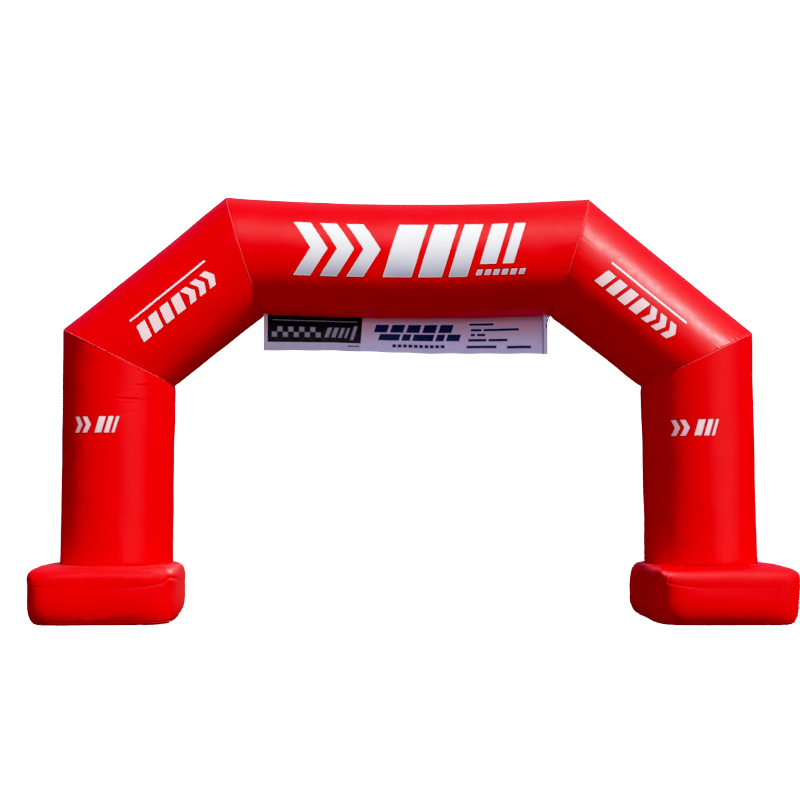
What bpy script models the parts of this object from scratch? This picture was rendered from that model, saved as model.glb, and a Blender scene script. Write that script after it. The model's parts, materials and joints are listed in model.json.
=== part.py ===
"""Inflatable event arch: five mitred air-filled tubes on two inflated box feet, with two banner
cloths and a knotted tie hung under the level beam.

Metres, +Z up. The origin is on the ground, in the middle of the arch's box; X runs along the
arch from its left leg to its right leg, and Y runs from its front to its back.
"""

import math
from collections import namedtuple

import bmesh
import bpy
import numpy as np
from mathutils import Vector
from mathutils.bvhtree import BVHTree

# ------------------------------------------------------------------ driving dimensions
LEG_X = 3.500           # middle of the arch to a leg's centre line, at its foot
BEAM_SAG = 0.058        # dip of the beam's centre line in its middle

GAP = 0.0003            # clearance between faces that are welded on the real arch
SEAT_GAP = 0.0005       # clearance between a banner's upper edge and the beam that holds it
CLOTH_GAP = 0.0025      # clearance between one hanging cloth and the other

TUBE_SIDES = 48

FOOT_SEAT_Z = 0.660     # height of the flat ring that the leg is welded to
FOOT_SEAT_LIP = 0.012   # how far that ring reaches past the leg
FOOT_RAYS = 72
FOOT_PANEL_STEPS = 5    # rings between the top seam and the seat

BANNER_THICKNESS = 0.002
SLEEVE_WIDTH = 0.045    # the pole sleeve at each end of the banners, part of its cloth
SLEEVE_THICKNESS = 0.014
BANNER_SPLIT = 1.195    # left inner corner to the edge where the right cloth overlaps the left
BANNER_SPLIT_SLANT = 0.030
BANNER_OVERLAP = 0.045
BANNER_LEFT_MARGIN = 0.003
BANNER_RIGHT_MARGIN = 0.030
BANNER_Y_LEFT = -0.100  # the banners hang a little in front of the beam's lowest line on the left
BANNER_Y_RIGHT = 0.000
BANNER_WAVE = 0.004     # how far the taut cloths swing to and fro
BANNER_WAVE_LENGTH = 0.83

KNOT_HALF = (0.020, 0.013, 0.022)   # half sizes of the tie's knot
KNOT_FLAT = 0.80        # share of its half height at which its underside is flat
KNOT_INSET = 0.020      # right inner corner to the middle of the knot
TAIL_DIAMETER = 0.012

# One row for each joint along the arch's spine, from the left leg's base to the right leg's: the
# seam's centre and the tube's radius there. The pressure lets all above the legs lean a little
# to the left. The swing turns the seam, in degrees, from the line that halves the bend.
Joint = namedtuple("Joint", "x z radius swing")
SPINE = (
    Joint(-LEG_X, FOOT_SEAT_Z + GAP, 0.666, 0.0),
    Joint(-3.498, 3.125, 0.681, -1.1),
    Joint(-1.987, 4.359, 0.711, -1.9),
    Joint(1.946, 4.353, 0.703, 1.4),
    Joint(3.479, 3.103, 0.674, 0.0),
    Joint(LEG_X, FOOT_SEAT_Z + GAP, 0.666, 0.0),
)

# One row for each tube between two joints. The waist is how far its middle is drawn in.
Tube = namedtuple("Tube", "name rings waist sag")
TUBES = (
    Tube("leg_left", 8, 0.005, 0.0),
    Tube("shoulder_left", 6, 0.006, 0.0),
    Tube("beam", 16, 0.016, BEAM_SAG),
    Tube("shoulder_right", 6, 0.006, 0.0),
    Tube("leg_right", 8, 0.005, 0.0),
)

# One row for each foot: the X of its middle, how far it is turned, in degrees, as it was dropped
# on the ground, how deep it is from front to back next to the table of rings, how high the corner
# peak at the front of its inner side is, and how far its top seam drops from there to the back.
Foot = namedtuple("Foot", "name x turn leg_x depth peak drop")
FEET = (
    Foot("foot_left", -3.587, 4.0, -LEG_X, 1.00, 0.100, 0.030),
    Foot("foot_right", 3.618, 0.0, LEG_X, 1.08, 0.125, 0.155),
)

# One row for each ring of a foot's wall, from the ground up. Squareness is the exponent of the
# ring's rounded rectangle, and follow is how much of the top seam's rise and fall it takes up.
FootRing = namedtuple("FootRing", "z follow half_width half_depth squareness")
FOOT_WALL = (
    FootRing(0.000, 0.00, 0.775, 0.895, 6.5),   # edge of the flat underside
    FootRing(0.030, 0.00, 0.815, 0.925, 6.5),   # bottom seam
    FootRing(0.110, 0.07, 0.850, 0.966, 6.0),
    FootRing(0.210, 0.24, 0.863, 0.993, 5.8),   # widest, where the wall bulges most
    FootRing(0.320, 0.54, 0.862, 1.000, 6.0),
    FootRing(0.435, 1.00, 0.858, 0.993, 7.0),   # top seam
)
OUTER_RISE = 0.070      # how much higher the top seam runs along the outer side
OUTER_POWER = 5.0       # how fast that rise fades along the front and the back
PEAK_WIDE = 0.55        # share of a peak that fades slowly along the front, and the power of it
PEAK_WIDE_POWER = 4.0
PEAK_SHARP_POWER = 25.0 # the power with which the rest fades
SIDE_POWER = 1.5        # how fast the seam falls along the inner side
PANEL_SQUARENESS = 3.4  # exponent of the rounded section of the top panel

# One row for each place where the height of the banners' lower edge is set. The distance runs
# from the left inner corner of the arch.
BannerHem = namedtuple("BannerHem", "distance z")
BANNER_HEM = (
    BannerHem(0.000, 3.208),
    BannerHem(0.860, 3.207),
    BannerHem(1.220, 3.196),
    BannerHem(2.030, 3.172),
    BannerHem(3.465, 3.177),
)

# The route of each free tail of the tie, from the place where it leaves the knot: steps in X, Y
# and Z, chosen so that it bends softly and hangs down.
TAIL_ROUTES = {
    "tie_tail_left": (
        (-0.007, 0.000, 0.000),
        (-0.007, 0.000, -0.008),
        (-0.010, -0.002, -0.024),
        (-0.016, -0.005, -0.042),
        (-0.022, -0.007, -0.066),
        (-0.025, -0.008, -0.090),
        (-0.026, -0.008, -0.115),
    ),
    "tie_tail_right": (
        (0.007, 0.000, 0.000),
        (0.007, 0.000, -0.008),
        (0.009, -0.002, -0.022),
        (0.009, -0.004, -0.038),
        (0.004, -0.005, -0.058),
        (-0.002, -0.006, -0.078),
    ),
}

# One row for each finish.
Finish = namedtuple("Finish", "color roughness")
FINISHES = {
    "coated_red": Finish((0.60, 0.004, 0.006, 1.0), 0.30),
    "banner_print": Finish((0.16, 0.15, 0.22, 1.0), 0.60),
    "banner_pale": Finish((0.36, 0.33, 0.50, 1.0), 0.60),
    "tie_white": Finish((0.75, 0.75, 0.82, 1.0), 0.70),
}


# ------------------------------------------------------------------ shared helpers
def clear_scene():
    """Removes every object that the scene starts with."""
    for obj in list(bpy.data.objects):
        bpy.data.objects.remove(obj, do_unlink=True)


def make_material(name):
    """A Principled material from the table of finishes."""
    finish = FINISHES[name]
    material = bpy.data.materials.new(name)
    material.use_nodes = True
    shader = material.node_tree.nodes["Principled BSDF"]
    shader.inputs["Base Color"].default_value = finish.color
    shader.inputs["Roughness"].default_value = finish.roughness
    shader.inputs["Metallic"].default_value = 0.0
    return material


def add_object(name, mesh, material, collection):
    """Names a mesh's object, dresses it and puts it in the arch's collection."""
    mesh.name = name
    mesh.materials.append(material)
    mesh.shade_smooth()
    mesh.set_sharp_from_angle(angle=math.radians(35))
    obj = bpy.data.objects.new(name, mesh)
    collection.objects.link(obj)
    return obj


def loft(rings):
    """A closed mesh skinned over rings of equally many points, with a flat face on each end."""
    mesh_data = bmesh.new()
    rows = [[mesh_data.verts.new(point) for point in ring] for ring in rings]
    count = len(rows[0])
    for lower, upper in zip(rows, rows[1:]):
        for index in range(count):
            after = (index + 1) % count
            mesh_data.faces.new((lower[index], lower[after], upper[after], upper[index]))
    mesh_data.faces.new(rows[0])
    mesh_data.faces.new(rows[-1])
    bmesh.ops.recalc_face_normals(mesh_data, faces=mesh_data.faces)
    mesh = bpy.data.meshes.new("loft")
    mesh_data.to_mesh(mesh)
    mesh_data.free()
    return mesh


def hump(u):
    """A parabola that is 0 at both ends of a tube and 1 in its middle."""
    return 4.0 * u * (1.0 - u)


# ------------------------------------------------------------------ tubes
def seam_axes():
    """For each joint, the seam's centre, its outward direction in X and Z, and its half width.

    A seam is an ellipse: its half depth is the joint's radius, and its half width is larger
    where the tubes meet at an angle.
    """
    points = np.array([(joint.x, joint.z) for joint in SPINE])
    runs = np.diff(points, axis=0)
    runs /= np.linalg.norm(runs, axis=1)[:, None]
    before = np.vstack([(0.0, 1.0), runs])
    after = np.vstack([runs, (0.0, -1.0)])
    before[0] = after[0] = (0.0, 1.0)
    before[-1] = after[-1] = (0.0, -1.0)
    axes = []
    for joint, point, first, second in zip(SPINE, points, before, after):
        normal = (first + second) / np.linalg.norm(first + second)
        turn = math.radians(joint.swing)
        outward = np.array((-normal[1], normal[0]))
        outward = np.array((
            outward[0] * math.cos(turn) - outward[1] * math.sin(turn),
            outward[0] * math.sin(turn) + outward[1] * math.cos(turn),
        ))
        axes.append((point, outward, joint.radius / (first @ normal)))
    return axes


def seam_ring(index, angle):
    """Points of the seam at a joint, in X, Y and Z."""
    point, outward, half_width = seam_axes()[index]
    flat = point + np.cos(angle)[:, None] * half_width * outward
    return np.column_stack([flat[:, 0], SPINE[index].radius * np.sin(angle), flat[:, 1]])


def tube_rings(index):
    """Rings of one tube: a loft from seam to seam, drawn in at its waist, that may sag."""
    tube = TUBES[index]
    angle = np.linspace(0.0, 2.0 * math.pi, TUBE_SIDES, endpoint=False)
    first = seam_ring(index, angle)
    last = seam_ring(index + 1, angle)
    along = last.mean(axis=0) - first.mean(axis=0)
    along /= np.linalg.norm(along)
    inset = along * GAP / 2
    first = first + inset
    last = last - inset
    rings = []
    for u in np.linspace(0.0, 1.0, tube.rings + 1):
        ring = first + (last - first) * u
        spoke = ring - ring.mean(axis=0)
        spoke -= (spoke @ along)[:, None] * along
        ring -= spoke / np.linalg.norm(spoke, axis=1)[:, None] * tube.waist * hump(u)
        ring[:, 2] -= tube.sag * hump(u)
        rings.append(ring)
    return rings


def inner_corner(index):
    """X and Z of the arch's inner corner at a joint, where the seam meets the underside."""
    point, outward, half_width = seam_axes()[index]
    return point - outward * half_width


def build_tubes(material, collection):
    """The legs, the shoulders and the beam, by name."""
    return {
        tube.name: add_object(tube.name, loft(tube_rings(index)), material, collection)
        for index, tube in enumerate(TUBES)
    }


# ------------------------------------------------------------------ feet
def foot_wall_ring(foot, ring, angle):
    """One ring of a foot's wall: a rounded rectangle that rises and falls with the top seam."""
    width = np.abs(np.cos(angle)) / ring.half_width
    depth = np.abs(np.sin(angle)) / (ring.half_depth * foot.depth)
    reach = (width ** ring.squareness + depth ** ring.squareness) ** (-1.0 / ring.squareness)
    corner = 0.5 ** (1.0 / ring.squareness)
    across = reach * width
    near = np.minimum(across / corner, 1.0)
    fade = PEAK_WIDE * near ** PEAK_WIDE_POWER + (1.0 - PEAK_WIDE) * near ** PEAK_SHARP_POWER
    back = np.clip(0.5 - np.sign(np.sin(angle)) * reach * depth / corner / 2.0, 0.0, 1.0)
    inner = fade * (foot.peak * back ** SIDE_POWER - foot.drop * (1.0 - back ** SIDE_POWER))
    outer = OUTER_RISE * across ** OUTER_POWER
    change = np.where(np.cos(angle) * foot.leg_x > 0.0, outer, inner)
    height = ring.z + ring.follow * change
    return np.column_stack([reach * np.cos(angle), reach * np.sin(angle), height])


def foot_rings(foot):
    """Rings of one foot, from its flat underside over the wall and top panel to the leg's seat."""
    turn = math.radians(foot.turn)
    angle = np.linspace(0.0, 2.0 * math.pi, FOOT_RAYS, endpoint=False)
    rings = []
    for row in FOOT_WALL:
        x, y, z = foot_wall_ring(foot, row, angle).T
        rings.append(np.column_stack([
            foot.x + x * math.cos(turn) - y * math.sin(turn),
            x * math.sin(turn) + y * math.cos(turn),
            z,
        ]))
    seam = rings[-1]
    seat_radius = SPINE[0].radius + FOOT_SEAT_LIP
    seat = np.column_stack([
        foot.leg_x + seat_radius * np.cos(angle + turn),
        seat_radius * np.sin(angle + turn),
        np.full(FOOT_RAYS, FOOT_SEAT_Z),
    ])
    for step in range(1, FOOT_PANEL_STEPS + 1):
        bend = step / FOOT_PANEL_STEPS * math.pi / 2
        rise, inward = math.sin(bend), math.cos(bend)
        reach = (rise ** PANEL_SQUARENESS + inward ** PANEL_SQUARENESS) ** (-1.0 / PANEL_SQUARENESS)
        ring = seam + (seat - seam) * (1.0 - reach * inward)
        ring[:, 2] = seam[:, 2] + (seat[:, 2] - seam[:, 2]) * reach * rise
        rings.append(ring)
    return rings


def build_feet(material, collection):
    """The two inflated box feet."""
    for foot in FEET:
        add_object(foot.name, loft(foot_rings(foot)), material, collection)


# ------------------------------------------------------------------ banners
def banner_plane(distance, span):
    """Y of the banners' middle at a distance from the left inner corner, with its slow waves."""
    slant = BANNER_Y_LEFT + (BANNER_Y_RIGHT - BANNER_Y_LEFT) * distance / span
    return slant + BANNER_WAVE * np.sin(2.0 * math.pi * distance / BANNER_WAVE_LENGTH)


def underside(tree, x, y):
    """Height of the beam's underside over a point, seen straight up from below."""
    hit = tree.ray_cast((x, y, SPINE[2].z / 2), (0.0, 0.0, 1.0))[0]
    return hit.z


def sleeve_weight(distance_from_end):
    """How full the pole sleeve is: 1 along its middle and 0 outside it."""
    offset = (distance_from_end - SLEEVE_WIDTH / 2) / (SLEEVE_WIDTH / 2)
    return np.sqrt(np.clip(1.0 - offset ** 2, 0.0, 1.0))


def build_banner(name, start, end, sleeve_at_start, behind, material, collection, tree):
    """One hanging cloth between two distances from the left inner corner.

    start and end are the distances at its upper edge, and sleeve_at_start says which end has
    the pole sleeve. The other end is the edge at the split, which leans by its slant.
    """
    left_x = inner_corner(2)[0]
    span = inner_corner(3)[0] - left_x
    sleeve = SLEEVE_WIDTH * np.array((0.0, 0.08, 0.25, 0.5, 0.75, 0.92, 1.0))
    plain = np.linspace(SLEEVE_WIDTH, end - start, int((end - start) / 0.12) + 1)[1:]
    from_sleeve = np.concatenate([sleeve, plain])
    columns = start + from_sleeve if sleeve_at_start else end - from_sleeve[::-1]
    drops = (0.0, 0.06, 0.35, 0.65, 0.93, 1.0)

    grid = bmesh.new()
    bmesh.ops.create_grid(grid, x_segments=len(columns) - 1, y_segments=len(drops) - 1, size=0.5)
    grid.verts.ensure_lookup_table()
    layer = grid.verts.layers.deform.verify()
    hem_distance = [row.distance for row in BANNER_HEM]
    hem_z = [row.z for row in BANNER_HEM]
    for vert in grid.verts:
        column = round((vert.co.x + 0.5) * (len(columns) - 1))
        drop = drops[round((0.5 - vert.co.y) * (len(drops) - 1))]
        distance = columns[column]
        free = (distance - start if sleeve_at_start else end - distance) / (end - start)
        weight = float(sleeve_weight(free * (end - start)))
        distance -= BANNER_SPLIT_SLANT * drop * free
        x = left_x + distance
        y = float(banner_plane(distance, span)) + behind
        reach = (BANNER_THICKNESS + (SLEEVE_THICKNESS - BANNER_THICKNESS) * weight) / 2
        top = min(underside(tree, x, y + shift) for shift in (-reach, 0.0, reach)) - SEAT_GAP
        bottom = float(np.interp(distance, hem_distance, hem_z))
        vert.co = (x, y, top + (bottom - top) * drop)
        vert[layer][0] = weight
    mesh = bpy.data.meshes.new(name)
    grid.to_mesh(mesh)
    grid.free()

    obj = add_object(name, mesh, material, collection)
    obj.vertex_groups.new(name="sleeve")
    solid = obj.modifiers.new("thickness", "SOLIDIFY")
    solid.thickness = SLEEVE_THICKNESS
    solid.offset = 0.0
    solid.vertex_group = "sleeve"
    solid.thickness_vertex_group = BANNER_THICKNESS / SLEEVE_THICKNESS
    return obj


def build_banners(tree, print_material, pale_material, collection):
    """The dark printed cloth on the left, and the pale one that overlaps it."""
    span = inner_corner(3)[0] - inner_corner(2)[0]
    build_banner(
        "banner_left", BANNER_LEFT_MARGIN, BANNER_SPLIT + BANNER_OVERLAP, True,
        BANNER_THICKNESS + CLOTH_GAP, print_material, collection, tree,
    )
    build_banner(
        "banner_right", BANNER_SPLIT, span - BANNER_RIGHT_MARGIN, False,
        0.0, pale_material, collection, tree,
    )


# ------------------------------------------------------------------ tie
def build_tail(name, start, material, collection):
    """One free tail of the tie: a bevelled curve that leaves the knot downwards."""
    curve = bpy.data.curves.new(name, "CURVE")
    curve.dimensions = "3D"
    curve.bevel_depth = TAIL_DIAMETER / 2
    curve.bevel_resolution = 2
    curve.use_fill_caps = True
    curve.materials.append(material)
    spline = curve.splines.new("POLY")
    spline.points.add(len(TAIL_ROUTES[name]) - 1)
    for point, step in zip(spline.points, TAIL_ROUTES[name]):
        point.co = (*(start + Vector(step)), 1.0)
    collection.objects.link(bpy.data.objects.new(name, curve))


def build_tie(tree, material, collection):
    """The knot at the right inner corner, against the beam's underside, and its two tails."""
    x = inner_corner(3)[0] - KNOT_INSET
    y = BANNER_Y_RIGHT - SLEEVE_THICKNESS / 2 - BANNER_WAVE - KNOT_HALF[1]
    z = underside(tree, x, y) - SEAT_GAP - KNOT_HALF[2]
    ball = bmesh.new()
    bmesh.ops.create_uvsphere(ball, u_segments=20, v_segments=12, radius=1.0)
    everything = ball.verts[:] + ball.edges[:] + ball.faces[:]
    cut = bmesh.ops.bisect_plane(
        ball, geom=everything, plane_co=(0.0, 0.0, -KNOT_FLAT), plane_no=(0.0, 0.0, -1.0),
        clear_outer=True,
    )["geom_cut"]
    bmesh.ops.contextual_create(ball, geom=[part for part in cut if part in ball.edges[:]])
    bmesh.ops.scale(ball, vec=KNOT_HALF, verts=ball.verts)
    mesh = bpy.data.meshes.new("tie_knot")
    ball.to_mesh(mesh)
    ball.free()
    add_object("tie_knot", mesh, material, collection).location = (x, y, z)
    start = Vector((x, y, z - KNOT_FLAT * KNOT_HALF[2] - GAP))
    for name in TAIL_ROUTES:
        build_tail(name, start, material, collection)


def main():
    """Builds the arch's pieces in their collection."""
    clear_scene()
    collection = bpy.data.collections.new("inflatable_arch")
    bpy.context.scene.collection.children.link(collection)
    materials = {name: make_material(name) for name in FINISHES}
    tubes = build_tubes(materials["coated_red"], collection)
    build_feet(materials["coated_red"], collection)
    bpy.context.view_layer.update()
    beam = BVHTree.FromObject(tubes["beam"], bpy.context.evaluated_depsgraph_get())
    build_banners(beam, materials["banner_print"], materials["banner_pale"], collection)
    build_tie(beam, materials["tie_white"], collection)


main()
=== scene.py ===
"""Visual model of an inflatable event arch: air tubes, box feet, banner cloths and a tie.

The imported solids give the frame, in metres with +Z up. Every piece is built in that frame, rides
on its one body and stands for the solids that it replaces. Seams, puckers and creases are real
relief on the surfaces, and the prints are generic bars and chevrons.
"""

from __future__ import annotations

import json
import logging
import math
import sys
from dataclasses import dataclass, replace
from enum import Enum
from typing import Sequence

import bpy
import numpy as np
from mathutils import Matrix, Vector

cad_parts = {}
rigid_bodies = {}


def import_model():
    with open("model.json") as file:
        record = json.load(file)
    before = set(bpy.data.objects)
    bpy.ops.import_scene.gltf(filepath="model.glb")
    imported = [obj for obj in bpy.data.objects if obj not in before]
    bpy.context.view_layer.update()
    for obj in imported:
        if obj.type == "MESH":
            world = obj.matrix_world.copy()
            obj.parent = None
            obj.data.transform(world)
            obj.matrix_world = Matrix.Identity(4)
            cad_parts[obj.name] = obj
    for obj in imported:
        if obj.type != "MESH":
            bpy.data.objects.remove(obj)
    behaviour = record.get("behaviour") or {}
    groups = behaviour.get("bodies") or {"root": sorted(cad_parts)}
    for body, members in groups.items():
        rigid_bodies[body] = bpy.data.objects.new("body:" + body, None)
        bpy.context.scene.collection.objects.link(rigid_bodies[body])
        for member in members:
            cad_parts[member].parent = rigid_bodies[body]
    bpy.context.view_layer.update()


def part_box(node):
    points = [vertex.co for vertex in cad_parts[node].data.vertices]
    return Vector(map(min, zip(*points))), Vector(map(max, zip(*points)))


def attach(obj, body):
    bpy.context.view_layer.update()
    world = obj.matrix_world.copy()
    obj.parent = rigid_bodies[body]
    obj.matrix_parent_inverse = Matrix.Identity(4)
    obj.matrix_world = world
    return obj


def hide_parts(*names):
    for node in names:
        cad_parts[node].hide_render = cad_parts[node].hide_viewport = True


LOG = logging.getLogger("inflatable_arch")
Color = tuple[float, float, float]
BODY = "root"
PRINT_MAP = "print"  # the map that holds places on a cloth in metres
BACK_SHIFT = 10.0    # how much higher the places on a cloth's back lie in that map
SHOW_THROUGH = 0.82  # how much of a print is lost on the cloth's back
SOFT_EDGE = 0.001    # half the width over which a print's edge fades


# ---------------------------------------------------------------- numbers that vary over a surface
class Field:
    """A number that varies over a surface, held as a shader socket, with ordinary arithmetic."""

    def __init__(self, tree: bpy.types.NodeTree, socket: bpy.types.NodeSocket) -> None:
        """Wraps a socket of a node tree."""
        self.tree = tree
        self.socket = socket

    def math(self, operation: str, *others: "Field | float") -> "Field":
        """Joins this field and others in one Math node.

        Args:
            operation: the Math node's operation.
            others: the second and third operands, as fields or plain numbers.

        Returns:
            The field that holds the result.
        """
        node = self.tree.nodes.new("ShaderNodeMath")
        node.operation = operation
        for socket, value in zip(node.inputs, (self, *others)):
            if isinstance(value, Field):
                self.tree.links.new(value.socket, socket)
            else:
                socket.default_value = value
        return Field(self.tree, node.outputs[0])

    def __add__(self, other: "Field | float") -> "Field":
        """The sum."""
        return self.math("ADD", other)

    def __sub__(self, other: "Field | float") -> "Field":
        """The difference."""
        return self.math("SUBTRACT", other)

    def __mul__(self, other: "Field | float") -> "Field":
        """The product."""
        return self.math("MULTIPLY", other)

    def __abs__(self) -> "Field":
        """The size without its sign."""
        return self.math("ABSOLUTE")

    def least(self, other: "Field | float") -> "Field":
        """The smaller of the two."""
        return self.math("MINIMUM", other)

    def most(self, other: "Field | float") -> "Field":
        """The larger of the two."""
        return self.math("MAXIMUM", other)

    def ramp(self, low: float, high: float, to_low: float = 0.0, to_high: float = 1.0) -> "Field":
        """A soft step from one value to another as this field goes from low to high.

        Args:
            low: the field's value where the step starts.
            high: the field's value where the step ends.
            to_low: the result at low and below it.
            to_high: the result at high and above it.

        Returns:
            The stepped field.
        """
        node = self.tree.nodes.new("ShaderNodeMapRange")
        node.interpolation_type = "SMOOTHSTEP"
        self.tree.links.new(self.socket, node.inputs["Value"])
        names = ("From Min", "From Max", "To Min", "To Max")
        for name, value in zip(names, (low, high, to_low, to_high)):
            node.inputs[name].default_value = value
        return Field(self.tree, node.outputs["Result"])


class Dresser:
    """Builds one procedural material around a Principled shader."""

    def __init__(self, name: str, **sockets: float | tuple) -> None:
        """Starts a material.

        Args:
            name: the material's name.
            sockets: plain values for the shader's sockets, with _ for a space.
        """
        self.material = bpy.data.materials.new(name)
        self.material.use_nodes = True
        self.tree = self.material.node_tree
        self.shader = self.tree.nodes["Principled BSDF"]
        for socket, value in sockets.items():
            self.shader.inputs[socket.replace("_", " ")].default_value = value
        self.relief: bpy.types.NodeSocket | None = None

    def node(self, kind: str, **links: bpy.types.NodeSocket | float | tuple) -> bpy.types.Node:
        """Adds a node and links or sets its inputs.

        Args:
            kind: the node's type.
            links: a socket or a plain value for each input, with _ for a space in its name.

        Returns:
            The node.
        """
        node = self.tree.nodes.new(kind)
        for name, value in links.items():
            socket = node.inputs[name.replace("_", " ")]
            if isinstance(value, bpy.types.NodeSocket):
                self.tree.links.new(value, socket)
            else:
                socket.default_value = value
        return node

    def place(self) -> bpy.types.NodeSocket:
        """The place in the frame, in metres."""
        return self.node("ShaderNodeTexCoord").outputs["Object"]

    def print_place(self) -> tuple[Field, Field]:
        """The place on the cloth, in metres, from its own map.

        Returns:
            The places along and across the print.
        """
        node = self.tree.nodes.new("ShaderNodeUVMap")
        node.uv_map = PRINT_MAP
        split = self.node("ShaderNodeSeparateXYZ", Vector=node.outputs["UV"])
        return Field(self.tree, split.outputs["X"]), Field(self.tree, split.outputs["Y"])

    def height(self) -> Field:
        """The height above the ground."""
        split = self.node("ShaderNodeSeparateXYZ", Vector=self.place())
        return Field(self.tree, split.outputs["Z"])

    def noise(self, scale: float, detail: float = 3.0) -> Field:
        """Soft noise on the place in the frame.

        Args:
            scale: spots for each metre.
            detail: how many finer layers it has.

        Returns:
            A field that runs from 0 to 1.
        """
        node = self.node("ShaderNodeTexNoise", Vector=self.place(), Scale=scale, Detail=detail)
        return Field(self.tree, node.outputs["Fac"])

    def blend(
        self, share: Field, low: bpy.types.NodeSocket | Color, high: bpy.types.NodeSocket | Color
    ) -> bpy.types.NodeSocket:
        """Mixes two colours by a field.

        Args:
            share: 0 for the first colour and 1 for the second.
            low: the first colour or its socket.
            high: the second colour or its socket.

        Returns:
            The socket that holds the mixed colour.
        """
        node = self.tree.nodes.new("ShaderNodeMix")
        node.data_type = "RGBA"
        self.tree.links.new(share.socket, node.inputs[0])
        for socket, value in zip((node.inputs[6], node.inputs[7]), (low, high)):
            if isinstance(value, bpy.types.NodeSocket):
                self.tree.links.new(value, socket)
            else:
                socket.default_value = (*value, 1.0)
        return node.outputs[2]

    def bump(self, height: Field, distance: float, strength: float = 1.0) -> None:
        """Adds fine relief.

        Args:
            height: the height as a field from 0 to 1.
            distance: how many metres that 1 stands for.
            strength: how much of it shows.
        """
        node = self.node("ShaderNodeBump", Height=height.socket, Distance=distance, Strength=strength)
        if self.relief is not None:
            self.tree.links.new(self.relief, node.inputs["Normal"])
        self.relief = node.outputs["Normal"]

    def finish(
        self, color: bpy.types.NodeSocket, roughness: Field | None = None
    ) -> bpy.types.Material:
        """Links the colour, the roughness and the relief to the shader.

        Args:
            color: the socket of the colour.
            roughness: the field of the roughness, where it varies.

        Returns:
            The finished material.
        """
        self.tree.links.new(color, self.shader.inputs["Base Color"])
        if roughness is not None:
            self.tree.links.new(roughness.socket, self.shader.inputs["Roughness"])
        if self.relief is not None:
            self.tree.links.new(self.relief, self.shader.inputs["Normal"])
        return self.material


# ---------------------------------------------------------------- prints
@dataclass(frozen=True)
class Stroke:
    """One slanted bar or chevron of a print, in metres on the cloth.

    Attributes:
        across: place of its middle along the print.
        up: place of its middle across the print.
        width: its width along the print.
        height: its height.
        slant: how far it leans along for each metre up.
        point: how far its middle stands ahead of its ends for each metre of half height, which
            makes a chevron of it.
    """

    across: float
    up: float
    width: float
    height: float
    slant: float = 0.0
    point: float = 0.0

    def edge(self, across: Field, up: Field) -> Field:
        """The distance to the stroke's edge, below 0 inside it.

        Args:
            across: the place along the print.
            up: the place across the print.

        Returns:
            The larger of the distances to its sides and to its ends.
        """
        rise = up - self.up
        along = across - self.across
        if self.slant:
            along = along - rise * self.slant
        if self.point:
            along = along + abs(rise) * self.point
        return (abs(along) - self.width / 2).most(abs(rise) - self.height / 2)


@dataclass(frozen=True)
class Print:
    """A group of strokes on one cloth.

    Attributes:
        strokes: the bars and chevrons.
        turn: quarter turns from the cloth's own directions to the print's.
        top: the colour at the print's top.
        foot: the colour at its foot.
        rim: the colour of the thin line around each stroke.
        rim_width: the width of that line.
        halo: the colour of the thin outline outside that line.
        halo_width: the width of that outline, or 0 for none.
        span: the heights where the top and foot colours are reached.
    """

    strokes: tuple[Stroke, ...]
    turn: int = 0
    top: Color = (0.92, 0.90, 0.92)
    foot: Color = (0.92, 0.90, 0.92)
    rim: Color = (0.92, 0.90, 0.92)
    rim_width: float = 0.008
    halo: Color = (0.28, 0.0, 0.004)
    halo_width: float = 0.009
    span: tuple[float, float] = (-0.3, 0.4)

    def over(
        self, dresser: Dresser, ground: bpy.types.NodeSocket | Color, place: tuple[Field, Field]
    ) -> bpy.types.NodeSocket:
        """Lays the print over a ground colour.

        Args:
            dresser: the material that is being built.
            ground: the colour of the bare cloth.
            place: the place along and across the cloth, which the print's turns act on.

        Returns:
            The socket of the printed colour.
        """
        across, up = place
        for _ in range(self.turn % 4):
            across, up = up * -1.0, across
        edge = self.strokes[0].edge(across, up)
        for stroke in self.strokes[1:]:
            edge = edge.least(stroke.edge(across, up))
        ink = dresser.blend(up.ramp(*self.span), self.foot, self.top)
        ink = dresser.blend(edge.ramp(-self.rim_width - 2 * SOFT_EDGE, -self.rim_width), ink, self.rim)
        if self.halo_width:
            outside = edge.ramp(self.halo_width, self.halo_width + 4 * SOFT_EDGE)
            ground = dresser.blend(outside, self.halo, ground)
        return dresser.blend(edge.ramp(-SOFT_EDGE, SOFT_EDGE), ink, ground)


def slanted_row(
    start: float, up: float, widths: Sequence[float], gap: float, height: float, slant: float
) -> tuple[Stroke, ...]:
    """A row of slanted bars, each as wide as its entry, a gap apart.

    Args:
        start: where the first bar begins.
        up: the row's middle.
        widths: the bars' widths in order.
        gap: the space between two bars.
        height: the bars' height.
        slant: how far they lean for each metre up.

    Returns:
        The strokes.
    """
    ends = start + np.cumsum(np.array(widths) + gap) - gap
    return tuple(
        Stroke(float(end - width / 2), up, width, height, slant) for end, width in zip(ends, widths)
    )


def chevron_row(
    start: float, up: float, count: int, width: float, pitch: float, height: float, point: float
) -> tuple[Stroke, ...]:
    """A row of equal chevrons.

    Args:
        start: the middle of the first.
        up: the row's middle.
        count: how many there are.
        width: the width of each arm.
        pitch: the distance from one to the next.
        height: their height.
        point: how far their points stand ahead, for each metre of half height.

    Returns:
        The strokes.
    """
    return tuple(
        Stroke(start + pitch * index, up, width, height, 0.0, point) for index in range(count)
    )


PINK_WHITE: Color = (1.0, 0.57, 0.58)


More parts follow.
